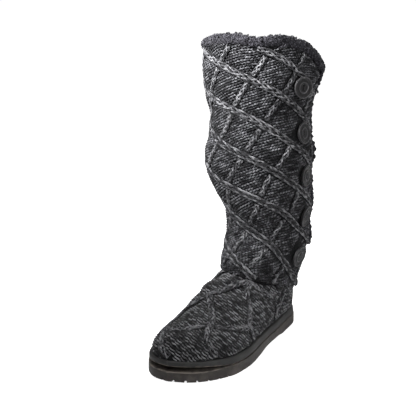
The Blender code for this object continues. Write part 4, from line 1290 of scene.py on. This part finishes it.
Button = namedtuple("Button", "height turn yaw tip")
BUTTONS = [Button(*row) for row in (
    (0.833, 436.0, 12.0, 0.0), (0.680, 441.0, 2.0, 3.0), (0.537, 446.0, 0.0, 0.0),
    (0.397, 448.0, 0.0, 0.0), (0.263, 447.0, 0.0, -4.0),
)]
BUTTON_RADIUS = 0.0121


def fold_out(turn, up):
    """How far the soft folds push the leg out at one place."""
    total = 0.0
    for fold in FOLDS:
        across = (turn - fold.turn) / fold.across
        along = (up - fold.height - fold.slope * (turn - fold.turn)) / fold.along
        total += fold.out * math.exp(-across * across - along * along)
    return total * CALF_WIDTH


def shaft_height(turn, v, offset):
    """Height of the sheet's line v, from the ankle seam to the rim."""
    rim = read_table(RIM, turn, "height") * LEG_HEIGHT
    bow = LINE_BOW * LEG_HEIGHT * math.cos(math.radians(2 * (turn - BOW_TURN)))
    low = 1 - ramp(v, SHEET_FOOT, LOW_PART_END)
    high = ramp(v, HIGH_PART_START, SHEET_TOP)
    height = v + bow * (1 - low) * (1 - high) + high * (rim - SHEET_TOP)
    if low > 0:
        height += low * (seam_point(turn, offset).z + FIT_GAP - SHEET_FOOT)
    return height


def shaft_point(u, v, depth):
    """Point of the leg, wrapped from the under layer to the flap's free edge."""
    turn = 360 * u / GIRTH
    under = 1 - ease(turn, *UNDER_SPAN)
    lip = LIP_OUT * ramp(turn, LIP_START, FLAP_END)
    offset = lip - under * (UPPER_WALL + LAYER_GAP) - depth
    z = shaft_height(turn, v, offset)
    up = z / LEG_HEIGHT
    lean = FLAP_LEAN * ramp(turn, LEAN_START, FLAP_END) ** 2 * ease(up, FLAP_LOOSE, 0.90)
    flare = ramp(turn, FLARE_START, FLAP_END) ** FLARE_CURVE * ease(up, FLAP_LOOSE, 0.91)
    flare *= FLAP_FLARE
    sag = fold_out(turn, up) * ease(v, SHEET_FOOT, SHEET_FOOT + SAG_SOFT)
    point, out = leg_frame(turn - lean, z)
    return point + out * (offset + flare + sag)


def sheet_line(turn, z):
    """Line of the leg's sheet that lies at a height."""
    return last_place(SHEET_FOOT, SHEET_TOP, lambda v: shaft_height(turn, v, 0) < z, 30)


SEAM_ROLL = 0.0024
SEAM_ROLL_ROW = 2.0
SEAM_ROLL_ROWS = 2.4
LEG_COLUMNS = 196
LEG_ROWS = 118
sheet_columns = even_steps(SHEET_START, SHEET_END, LEG_COLUMNS)
LEG_FORM = np.array([[shaft_point(u, v, 0) for u in sheet_columns]
                     for v in even_steps(SHEET_FOOT, SHEET_TOP, LEG_ROWS)])
LEG_OUT = grid_normals(LEG_FORM, False)
seam_roll = SEAM_ROLL * np.exp(-((np.arange(LEG_ROWS + 1) - SEAM_ROLL_ROW) / SEAM_ROLL_ROWS) ** 2)
LEG_FORM += LEG_OUT * seam_roll[:, None, None]
BUTTON_PLACES = [(round_leg(b.turn), sheet_line(b.turn, b.height * LEG_HEIGHT)) for b in BUTTONS]


def sheet_steps(u, v):
    """Places on the sheet, counted in steps of its grid."""
    return ((np.asarray(u) - SHEET_START) / (SHEET_END - SHEET_START) * LEG_COLUMNS,
            (np.asarray(v) - SHEET_FOOT) / (SHEET_TOP - SHEET_FOOT) * LEG_ROWS)


FALL_PITCH = 0.0433
FALL_SLOPE = -0.50
FALL_START = 0.2935
RISE_PITCH = 0.0706
RISE_SLOPE = 1.45
RISE_START = 0.2633
UNDER_CABLE = 0.7
UNDER_CABLE_PLACE = 1.25 * CABLE_HALF
SEAM_FADE = 0.006
BUTTON_FADE = (0.9 * BUTTON_RADIUS, 1.4 * BUTTON_RADIUS)


def cable_offsets(u, v):
    """Distance along the sheet to the nearest falling and the nearest rising cable."""
    place = u - GIRTH
    fall = v - FALL_START - FALL_SLOPE * place
    rise = v - RISE_START - RISE_SLOPE * place
    return ((fall - FALL_PITCH * np.round(fall / FALL_PITCH)) / math.hypot(1, FALL_SLOPE),
            (rise - RISE_PITCH * np.round(rise / RISE_PITCH)) / math.hypot(1, RISE_SLOPE))


def button_distance(u, v):
    """Distance along the sheet to the nearest button's middle."""
    return np.min([np.hypot(u - a, v - b) for a, b in BUTTON_PLACES], axis=0)


leg_u, leg_v = np.meshgrid(np.linspace(SHEET_START, SHEET_END, LEG_COLUMNS + 1),
                           np.linspace(SHEET_FOOT, SHEET_TOP, LEG_ROWS + 1))
leg_fall, leg_rise = cable_offsets(leg_u, leg_v)
leg_raise = ground_relief(np.minimum(np.abs(leg_fall), np.abs(leg_rise)))
below_fall = np.exp(-((leg_fall + UNDER_CABLE_PLACE) / GUTTER_WIDTH) ** 2)
leg_raise -= UNDER_CABLE * GUTTER * below_fall
leg_raise *= (ramp(leg_v, SHEET_FOOT, SHEET_FOOT + SEAM_FADE)
              * ramp(button_distance(leg_u, leg_v), *BUTTON_FADE))
LEG_WALL = LEG_FORM + LEG_OUT * (leg_raise - KNIT_SINK)[..., None]
lined_wall("leg_wall", LEG_WALL, LEG_FORM - LEG_OUT * UPPER_WALL, False, "shaft")


# Knitted leg: the rows
# The ground of every diamond is purl knitting, in rows that climb gently round the leg. The
# rows stop at the cables and under the buttons.

ROW_PITCH = 0.0029
ROW_CLIMB = math.tan(math.radians(15))
FALL_ROW_CLEAR = 0.92
RISE_ROW_CLEAR = 0.80
LINE_STEP = 0.0018
ROW_STARTS = 104
ROW_MEETING = 290
ROW_LAP = 0.0010
ROW_END_GAP = 0.0005
ROW_FOOT_GAP = 0.0016
ROW_TOP_GAP = 0.0005


def on_leg(u, v):
    """Points of the leg's sheet and their outward directions."""
    out = read_grid(LEG_OUT, *sheet_steps(u, v), False)
    out /= np.linalg.norm(out, axis=-1, keepdims=True)
    return read_grid(LEG_FORM, *sheet_steps(u, v), False), out


def sheet_rows(first, last):
    """Lines of the leg's purl rows between two places round the sheet."""
    lines = []
    low = SHEET_FOOT - ROW_CLIMB * (last - GIRTH)
    high = SHEET_TOP - ROW_CLIMB * (first - GIRTH)
    for number in range(math.ceil(low / ROW_PITCH), int(high / ROW_PITCH) + 1):
        u = np.arange(first, last, LINE_STEP)
        v = number * ROW_PITCH + ROW_CLIMB * (u - GIRTH)
        fall, rise = cable_offsets(u, v)
        keep = np.abs(fall) > FALL_ROW_CLEAR * CABLE_HALF
        keep &= np.abs(rise) > RISE_ROW_CLEAR * CABLE_HALF
        keep &= (v > SHEET_FOOT + ROW_FOOT_GAP) & (v < SHEET_TOP - ROW_TOP_GAP)
        keep &= button_distance(u, v) > BUTTON_RADIUS
        for a, b in runs_of(keep):
            place, out = on_leg(u[a:b], v[a:b])
            raised = read_grid(leg_raise[..., None], *sheet_steps(u[a:b], v[a:b]), False)
            lines.append((place + out * (raised + ROW_LIFT - KNIT_SINK), out, ROW_PHASE * number))
    return lines


for name, first, last in (("leg_rows_inner", ROW_STARTS, ROW_MEETING),
                          ("leg_rows_outer", ROW_MEETING, FLAP_END)):
    lines = sheet_rows(round_leg(first) - ROW_LAP, round_leg(last) - ROW_END_GAP)
    rows = run_tree(lines_object(name, lines), purl_tree, {**PURL, "Seed": 7})
    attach(rows, "root")


# Knitted leg: the cables
# Broad cables of five strands fall across the leg and lie over narrower rising ones, so that
# the leg is covered with tall diamonds. Both sets stop short beneath the buttons.

SHORTEST_CABLE = 7
CABLE_STARTS = 100
CABLE_END_GAP = 0.001
CABLE_FOOT_GAP = 0.002
CABLE_BUTTON_GAP = 1.10
RISE_BRAID = {**BRAID, "Plait Length": 0.028, "Spread": 0.0025, "Raise": 0.0010, "Strands": 4,
              "Seed": 6}


def sheet_cables(start, slope, pitch, gap):
    """Lines of one set of cables, broken at the buttons and by a gap at the falling set."""
    lines = []
    corners = [(u, v) for u in (SHEET_START, SHEET_END) for v in (SHEET_FOOT, SHEET_TOP)]
    reach = [v - start - slope * (u - GIRTH) for u, v in corners]
    for number in range(math.ceil(min(reach) / pitch), int(max(reach) / pitch) + 1):
        u = np.arange(round_leg(CABLE_STARTS), SHEET_END - CABLE_END_GAP,
                      LINE_STEP / math.hypot(1, slope))
        v = start + number * pitch + slope * (u - GIRTH)
        keep = (v > SHEET_FOOT + CABLE_FOOT_GAP) & (v < SHEET_TOP - CABLE_END_GAP)
        keep &= button_distance(u, v) > CABLE_BUTTON_GAP * BUTTON_RADIUS
        if gap:
            keep &= np.abs(cable_offsets(u, v)[0]) > gap
        for a, b in runs_of(keep, SHORTEST_CABLE):
            place, out = on_leg(u[a:b], v[a:b])
            lines.append((place - out * KNIT_SINK, out, CABLE_PHASE * number))
    return lines


falling_lines = sheet_cables(FALL_START, FALL_SLOPE, FALL_PITCH, 0)
rising_lines = sheet_cables(RISE_START, RISE_SLOPE, RISE_PITCH, 1.05 * CABLE_HALF)
falling = run_tree(lines_object("leg_cables_falling", falling_lines), cable_tree, BRAID)
rising = run_tree(lines_object("leg_cables_rising", rising_lines), cable_tree, RISE_BRAID)
for cables in (falling, rising):
    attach(cables, "root")


# Fleece edge
# A strip of curly fleece, folded into a soft roll and sewn along the rim and down the free
# edge of the flap. Small tight curls of pile cover it.

FLEECE_WIDTH = 0.0050
FLEECE_HEIGHT = 0.0077
FLEECE_START = 126.0
PLACKET_RADIUS = 0.0040
PLACKET_FOOT = 0.098
ROLL_STEP = 0.0022
ROLL_SIDES = 16
SWELL_SPAN = (round_leg(395), round_leg(445))
SWELL_DROP = 0.030
SWELL_WIDE = 0.15
SWELL_HIGH = 0.20
ROLL_SEAT = 0.61
EDGE_STEP = 0.0011
CORNER_STEPS = 6
END_STEPS = 3
LUMP_SIZE = 0.71
LUMP_SWING = 0.11
LUMP_DRIFT = 0.35
LUMP_TURN = 2.2
LUMP_SEED = 11
ROLL_CREASE = 80
CURL_TILT = 0.5
CURL_SIZES = (0.70, 1.20)


def edge_frame(u, v, step_u, step_v):
    """Middle of the wall at the sheet's edge, the way out of the wall, and the way off it."""
    centre = shaft_point(u, v, UPPER_WALL / 2)
    out = (shaft_point(u, v, -UPPER_WALL) - centre).normalized()
    back = shaft_point(u - step_u, v - step_v, UPPER_WALL / 2)
    way = (shaft_point(u + step_u, v + step_v, UPPER_WALL / 2) - back).normalized()
    away = way.cross(out).normalized()
    inside = shaft_point(u - abs(step_v), v - abs(step_u), UPPER_WALL / 2)
    if away.dot(inside - centre) > 0:
        away.negate()
    return centre, out, away


def roll_frames():
    """Edge frames along the rim, round the corner and down the flap."""
    start = round_leg(FLEECE_START)
    foot = sheet_line(FLAP_END, PLACKET_FOOT)
    across = round((SHEET_END - start) / ROLL_STEP)
    down = round((SHEET_TOP - foot) / ROLL_STEP)
    frames = [(*edge_frame(u, SHEET_TOP, EDGE_STEP, 0), 0.0, ramp(u, *SWELL_SPAN))
              for u in even_steps(start, SHEET_END, across)]
    flap = [(*edge_frame(SHEET_END, v, 0, -EDGE_STEP), 1.0,
             ramp(v, SHEET_TOP - SWELL_DROP, SHEET_TOP))
            for v in even_steps(SHEET_TOP, foot, down)]
    corner, out, first, *_ = frames[-1]
    last = flap[0][2]
    for i in range(1, CORNER_STEPS):
        share = i / CORNER_STEPS
        frames.append((corner, out, first.lerp(last, share).normalized(), share, 1.0))
    return frames + flap


def fleece_roll():
    """Soft uneven roll along the edge, closed with small round ends."""
    frames = roll_frames()
    chance = np.random.default_rng(LUMP_SEED)
    lumps = np.cumsum(chance.normal(0, LUMP_DRIFT, (len(frames), ROLL_SIDES)), axis=0)
    bm = bmesh.new()
    rings = []
    for i, (edge, out, away, share, swell) in enumerate(frames):
        wide = mix(FLEECE_WIDTH, PLACKET_RADIUS, share) * (1 + SWELL_WIDE * swell)
        high = mix(FLEECE_HEIGHT, PLACKET_RADIUS, share) * (1 + SWELL_HIGH * swell)
        centre = edge + away * (ROLL_SEAT * high) + out * (share * UPPER_WALL / 2)
        from_end = min(i + 0.5, len(frames) - 0.5 - i, END_STEPS)
        close = math.sqrt(1 - (1 - from_end / END_STEPS) ** 2)
        ring = []
        for j in range(ROLL_SIDES):
            angle = 2 * math.pi * j / ROLL_SIDES
            lump = LUMP_SIZE + LUMP_SWING * math.sin(lumps[i][j] + LUMP_TURN * i)
            arm = out * wide * math.cos(angle) + away * high * math.sin(angle)
            ring.append(bm.verts.new(centre + arm * lump * close))
        rings.append(ring)
    join_rings(bm, rings)
    bm.faces.new(rings[0])
    bm.faces.new(rings[-1])
    bmesh.ops.recalc_face_normals(bm, faces=bm.faces[:])
    return bm


def curl_tree():
    """Curls of pile stood all over the roll, each turned and sized by chance."""
    tree, given = node_group(
        "fleece_curls", "GeometryNodeTree",
        {"Roll": "Geometry", "Spacing": "Float", "Curl Radius": "Float", "Pile Radius": "Float",
         "Seed": "Int", "Material": "Material"},
        {"Curls": "Geometry"})
    spread = add_node(tree, "GeometryNodeDistributePointsOnFaces", distribute_method="POISSON",
                      inputs={"Mesh": given["Roll"], "Distance Min": given["Spacing"],
                              "Density Max": 4e5, "Seed": given["Seed"]})
    spiral = add_node(tree, "GeometryNodeCurveSpiral",
                      inputs={"Resolution": 9, "Rotations": 1.4,
                              "Start Radius": times(tree, given["Curl Radius"], 0.25),
                              "End Radius": given["Curl Radius"],
                              "Height": times(tree, given["Curl Radius"], -1.1)})
    curl = tube_of(tree, spiral.outputs[0], 3, given["Pile Radius"])
    spin = add_node(tree, "FunctionNodeRandomValue", data_type="FLOAT_VECTOR",
                    inputs={0: (-CURL_TILT, -CURL_TILT, 0.0), 1: (CURL_TILT, CURL_TILT, 6.283),
                            "Seed": given["Seed"]})
    turned = add_node(tree, "FunctionNodeRotateRotation", rotation_space="LOCAL",
                      inputs={0: spread.outputs["Rotation"], 1: spin.outputs[0]})
    placed = add_node(tree, "GeometryNodeInstanceOnPoints",
                      inputs={"Points": spread.outputs["Points"], "Instance": curl,
                              "Rotation": turned.outputs[0],
                              "Scale": chance_node(tree, *CURL_SIZES, given["Seed"])})
    return made_real(tree, placed.outputs[0], given["Material"])


fleece_pile = wool_material("fleece_pile", (22, 21, 25), (44, 43, 48), (83, 82, 88),
                            pale_share=0.42, fleck=0.0016, bump=0.9)
CURLS = {"Spacing": 0.0036, "Curl Radius": 0.0027, "Pile Radius": 0.00115, "Seed": 9,
         "Material": fleece_pile}
roll = object_of("fleece_roll", fleece_roll(), fleece_pile, ROLL_CREASE)
curls = run_tree(object_of("fleece_curls", fleece_roll(), fleece_pile), curl_tree(), CURLS)
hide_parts("fleece_edge")
for piece in (roll, curls):
    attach(piece, "root")


# Buttons
# Five turned plastic buttons with a rim, a sunk face and a ring round two holes, sewn on
# with a few turns of dark thread. Their faces keep the fine rings of the turning tool, and the
# crests of the ring and the rim are painted pale as highlights.

BUTTON_THICK = 0.0031
HOLE_RADIUS = 0.0012
HOLE_SPACING = 0.0046
BUTTON_LIFT = 0.0003
CABLE_HEIGHT = 0.0015
BUTTON_FACE = 0.66
BUTTON_PROFILE = (
    (0.000, 0.66), (0.120, 0.66), (0.340, 0.66), (0.400, 0.70), (0.440, 0.84), (0.480, 0.95),
    (0.515, 0.95), (0.550, 0.82), (0.600, 0.64), (0.700, 0.60), (0.780, 0.64), (0.840, 0.76),
    (0.895, 0.95), (0.930, 1.00), (0.965, 0.97), (0.990, 0.86), (1.000, 0.68), (0.990, 0.48),
    (0.960, 0.25), (0.900, 0.00), (0.000, 0.00),
)
BUTTON_SEGMENTS = 64
BUTTON_CREASE = 35
THREAD_RADIUS = 0.00022
THREAD_SIDE = 0.00025
THREAD_DEPTH = 0.0010
THREAD_RISE = 0.0011
THREAD_STEPS = 12
THREAD_SIDES = 8
HOLE_SIDES = 20
FEEL_STEPS = 6
OUT_PROBE = 0.01
SIDE_PROBE = 0.004
UP_PROBE = 0.008
RISING_HALF = 0.85 * CABLE_HALF
RELIEF_CLEAR = (1.15 * BUTTON_RADIUS, 1.6 * BUTTON_RADIUS)
# Crests of the ring and the rim, painted pale as highlights: middle and half width in shares of the
# radius, and how strongly.
HIGHLIGHT_RING = (0.475, 0.045)
HIGHLIGHT_RIM = (0.935, 0.035)
HIGHLIGHT_SHARE = 0.7
TURNING_LINES = 260.0


def button_form():
    """Turned button before its holes are drilled."""
    bm = bmesh.new()
    rings = []
    for share, height in BUTTON_PROFILE:
        count = BUTTON_SEGMENTS if share else 1
        rings.append([bm.verts.new((share * BUTTON_RADIUS * math.cos(2 * math.pi * k / count),
                                    share * BUTTON_RADIUS * math.sin(2 * math.pi * k / count),
                                    height * BUTTON_THICK)) for k in range(count)])
    for low, high in zip(rings, rings[1:]):
        for k in range(BUTTON_SEGMENTS):
            corners = (low[k % len(low)], low[(k + 1) % len(low)],
                       high[(k + 1) % len(high)], high[k % len(high)])
            bm.faces.new(list(dict.fromkeys(corners)))
    bmesh.ops.recalc_face_normals(bm, faces=bm.faces[:])
    return bm


def drill_form():
    """Two round bars where the holes go."""
    bm = bmesh.new()
    for way in (-1, 1):
        bmesh.ops.create_cone(bm, cap_ends=True, segments=HOLE_SIDES, radius1=HOLE_RADIUS,
                              radius2=HOLE_RADIUS, depth=4 * BUTTON_THICK,
                              matrix=Matrix.Translation((0, way * HOLE_SPACING / 2, 0)))
    return bm


def thread_form():
    """Two turns of thread between the holes, each a bent round strand."""
    bm = bmesh.new()
    level = Vector((1, 0, 0))
    for side in (-THREAD_SIDE, THREAD_SIDE):
        rings = []
        for i in range(THREAD_STEPS + 1):
            angle = math.pi * i / THREAD_STEPS
            height = BUTTON_FACE * BUTTON_THICK - THREAD_DEPTH
            height += THREAD_RISE * math.sin(angle) ** 0.6
            centre = Vector((side, -HOLE_SPACING / 2 * math.cos(angle), height))
            up = level.cross(Vector((0, math.sin(angle), 0.8 * math.cos(angle))).normalized())
            turns = [2 * math.pi * k / THREAD_SIDES for k in range(THREAD_SIDES)]
            rings.append([bm.verts.new(centre + THREAD_RADIUS * (math.cos(a) * level
                                                                 + math.sin(a) * up))
                          for a in turns])
        join_rings(bm, rings)
        bm.faces.new(rings[0])
        bm.faces.new(rings[-1])
    bmesh.ops.recalc_face_normals(bm, faces=bm.faces[:])
    return bm


def button_matrix(button, u, v):
    """Where a button sits: on the highest knit beneath it, turned and tipped as it hangs."""
    base = shaft_point(u, v, 0)
    out = (shaft_point(u, v, -OUT_PROBE) - base).normalized()
    slope = shaft_point(u + SIDE_PROBE, v, 0) - shaft_point(u - SIDE_PROBE, v, 0)
    slope.normalize()
    rise = shaft_point(u, v + UP_PROBE, 0) - shaft_point(u, v - UP_PROBE, 0)
    rise.normalize()
    face = slope.cross(rise).normalized()
    if face.dot(out) < 0:
        face.negate()
    turned = Matrix((slope, face.cross(slope), face)).transposed().to_4x4()
    for angle, axis in ((button.yaw, "Y"), (button.tip, "X")):
        turned = turned @ Matrix.Rotation(-math.radians(angle), 4, axis)
    face = turned.to_3x3() @ Vector((0, 0, 1))
    highest = 0.0
    steps = [i * BUTTON_RADIUS / 5 for i in range(-FEEL_STEPS, FEEL_STEPS + 1)]
    for at_u, at_v in ((u + a, v + b) for a in steps for b in steps):
        fall, rise_off = cable_offsets(at_u, at_v)
        falling_part = max(0.0, 1 - abs(fall) / CABLE_HALF)
        rising_part = max(0.0, 1 - abs(rise_off) / RISING_HALF)
        rising_part *= mix(0.4, 0.9, ramp(abs(fall), CABLE_HALF, 3 * CABLE_HALF))
        clear = ramp(button_distance(at_u, at_v), *RELIEF_CLEAR)
        relief = CABLE_HEIGHT * max(falling_part, rising_part) * clear
        above = shaft_point(at_u, at_v, -relief) - base
        if (above - face * above.dot(face)).length < BUTTON_RADIUS:
            highest = max(highest, above.dot(face))
    return Matrix.Translation(base + face * (highest + BUTTON_LIFT)) @ turned


button_plastic, plastic_tree, plastic_shader = new_material("button_plastic")
axis_map = add_node(plastic_tree, "ShaderNodeUVMap", uv_map="axis_distance")
across = add_node(plastic_tree, "ShaderNodeSeparateXYZ", inputs={0: axis_map.outputs[0]}).outputs[0]
turning = math_node(plastic_tree, "SINE", times(plastic_tree, across, TURNING_LINES))
smear = noise(plastic_tree, object_place(plastic_tree), 260.0, 4.0)
# Painted highlight: pale lines on the crests of the ring and the rim stand in for the light they
# catch.
painted_highlight = math_node(plastic_tree, "MAXIMUM",
                   math_node(plastic_tree, "COMPARE", across, *HIGHLIGHT_RING),
                   math_node(plastic_tree, "COMPARE", across, *HIGHLIGHT_RIM))
plain = mix_colours(plastic_tree, smear, linear(26, 25, 27), linear(44, 43, 45))
plastic_colour = mix_colours(plastic_tree, times(plastic_tree, painted_highlight, HIGHLIGHT_SHARE), plain,
                             linear(92, 91, 94))
plastic_rough = plus(plastic_tree, times(plastic_tree, smear, 0.25), 0.38)
plastic_tree.links.new(plastic_rough, plastic_shader.inputs["Roughness"])
finish_shader(plastic_tree, plastic_shader, plastic_colour, turning, 0.5, 0.0002, {})

thread, _, thread_shader = new_material("button_thread")
thread_shader.inputs["Base Color"].default_value = linear(17, 17, 18)
thread_shader.inputs["Roughness"].default_value = 0.9

button_model = object_of("button_model", button_form(), button_plastic, BUTTON_CREASE)
cut_by(button_model, object_of("button_drill", drill_form(), None))
distance_map = button_model.data.uv_layers.new(name="axis_distance")
for loop in button_model.data.loops:
    x, y, _ = button_model.data.vertices[loop.vertex_index].co
    distance_map.data[loop.index].uv = (math.hypot(x, y) / BUTTON_RADIUS, 0)
button_model.data.set_sharp_from_angle(angle=math.radians(BUTTON_CREASE))

for number, (button, place) in enumerate(zip(BUTTONS, BUTTON_PLACES), 1):
    matrix = button_matrix(button, *place)
    disc = bpy.data.objects.new(f"button_disc_{number}", button_model.data.copy())
    bpy.context.scene.collection.objects.link(disc)
    disc.data.transform(matrix)
    stitches = object_of(f"button_thread_{number}", thread_form(), thread, 60)
    stitches.data.transform(matrix)
    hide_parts(f"button_{number}")
    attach(disc, "root")
    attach(stitches, "root")
bpy.data.objects.remove(button_model, do_unlink=True)
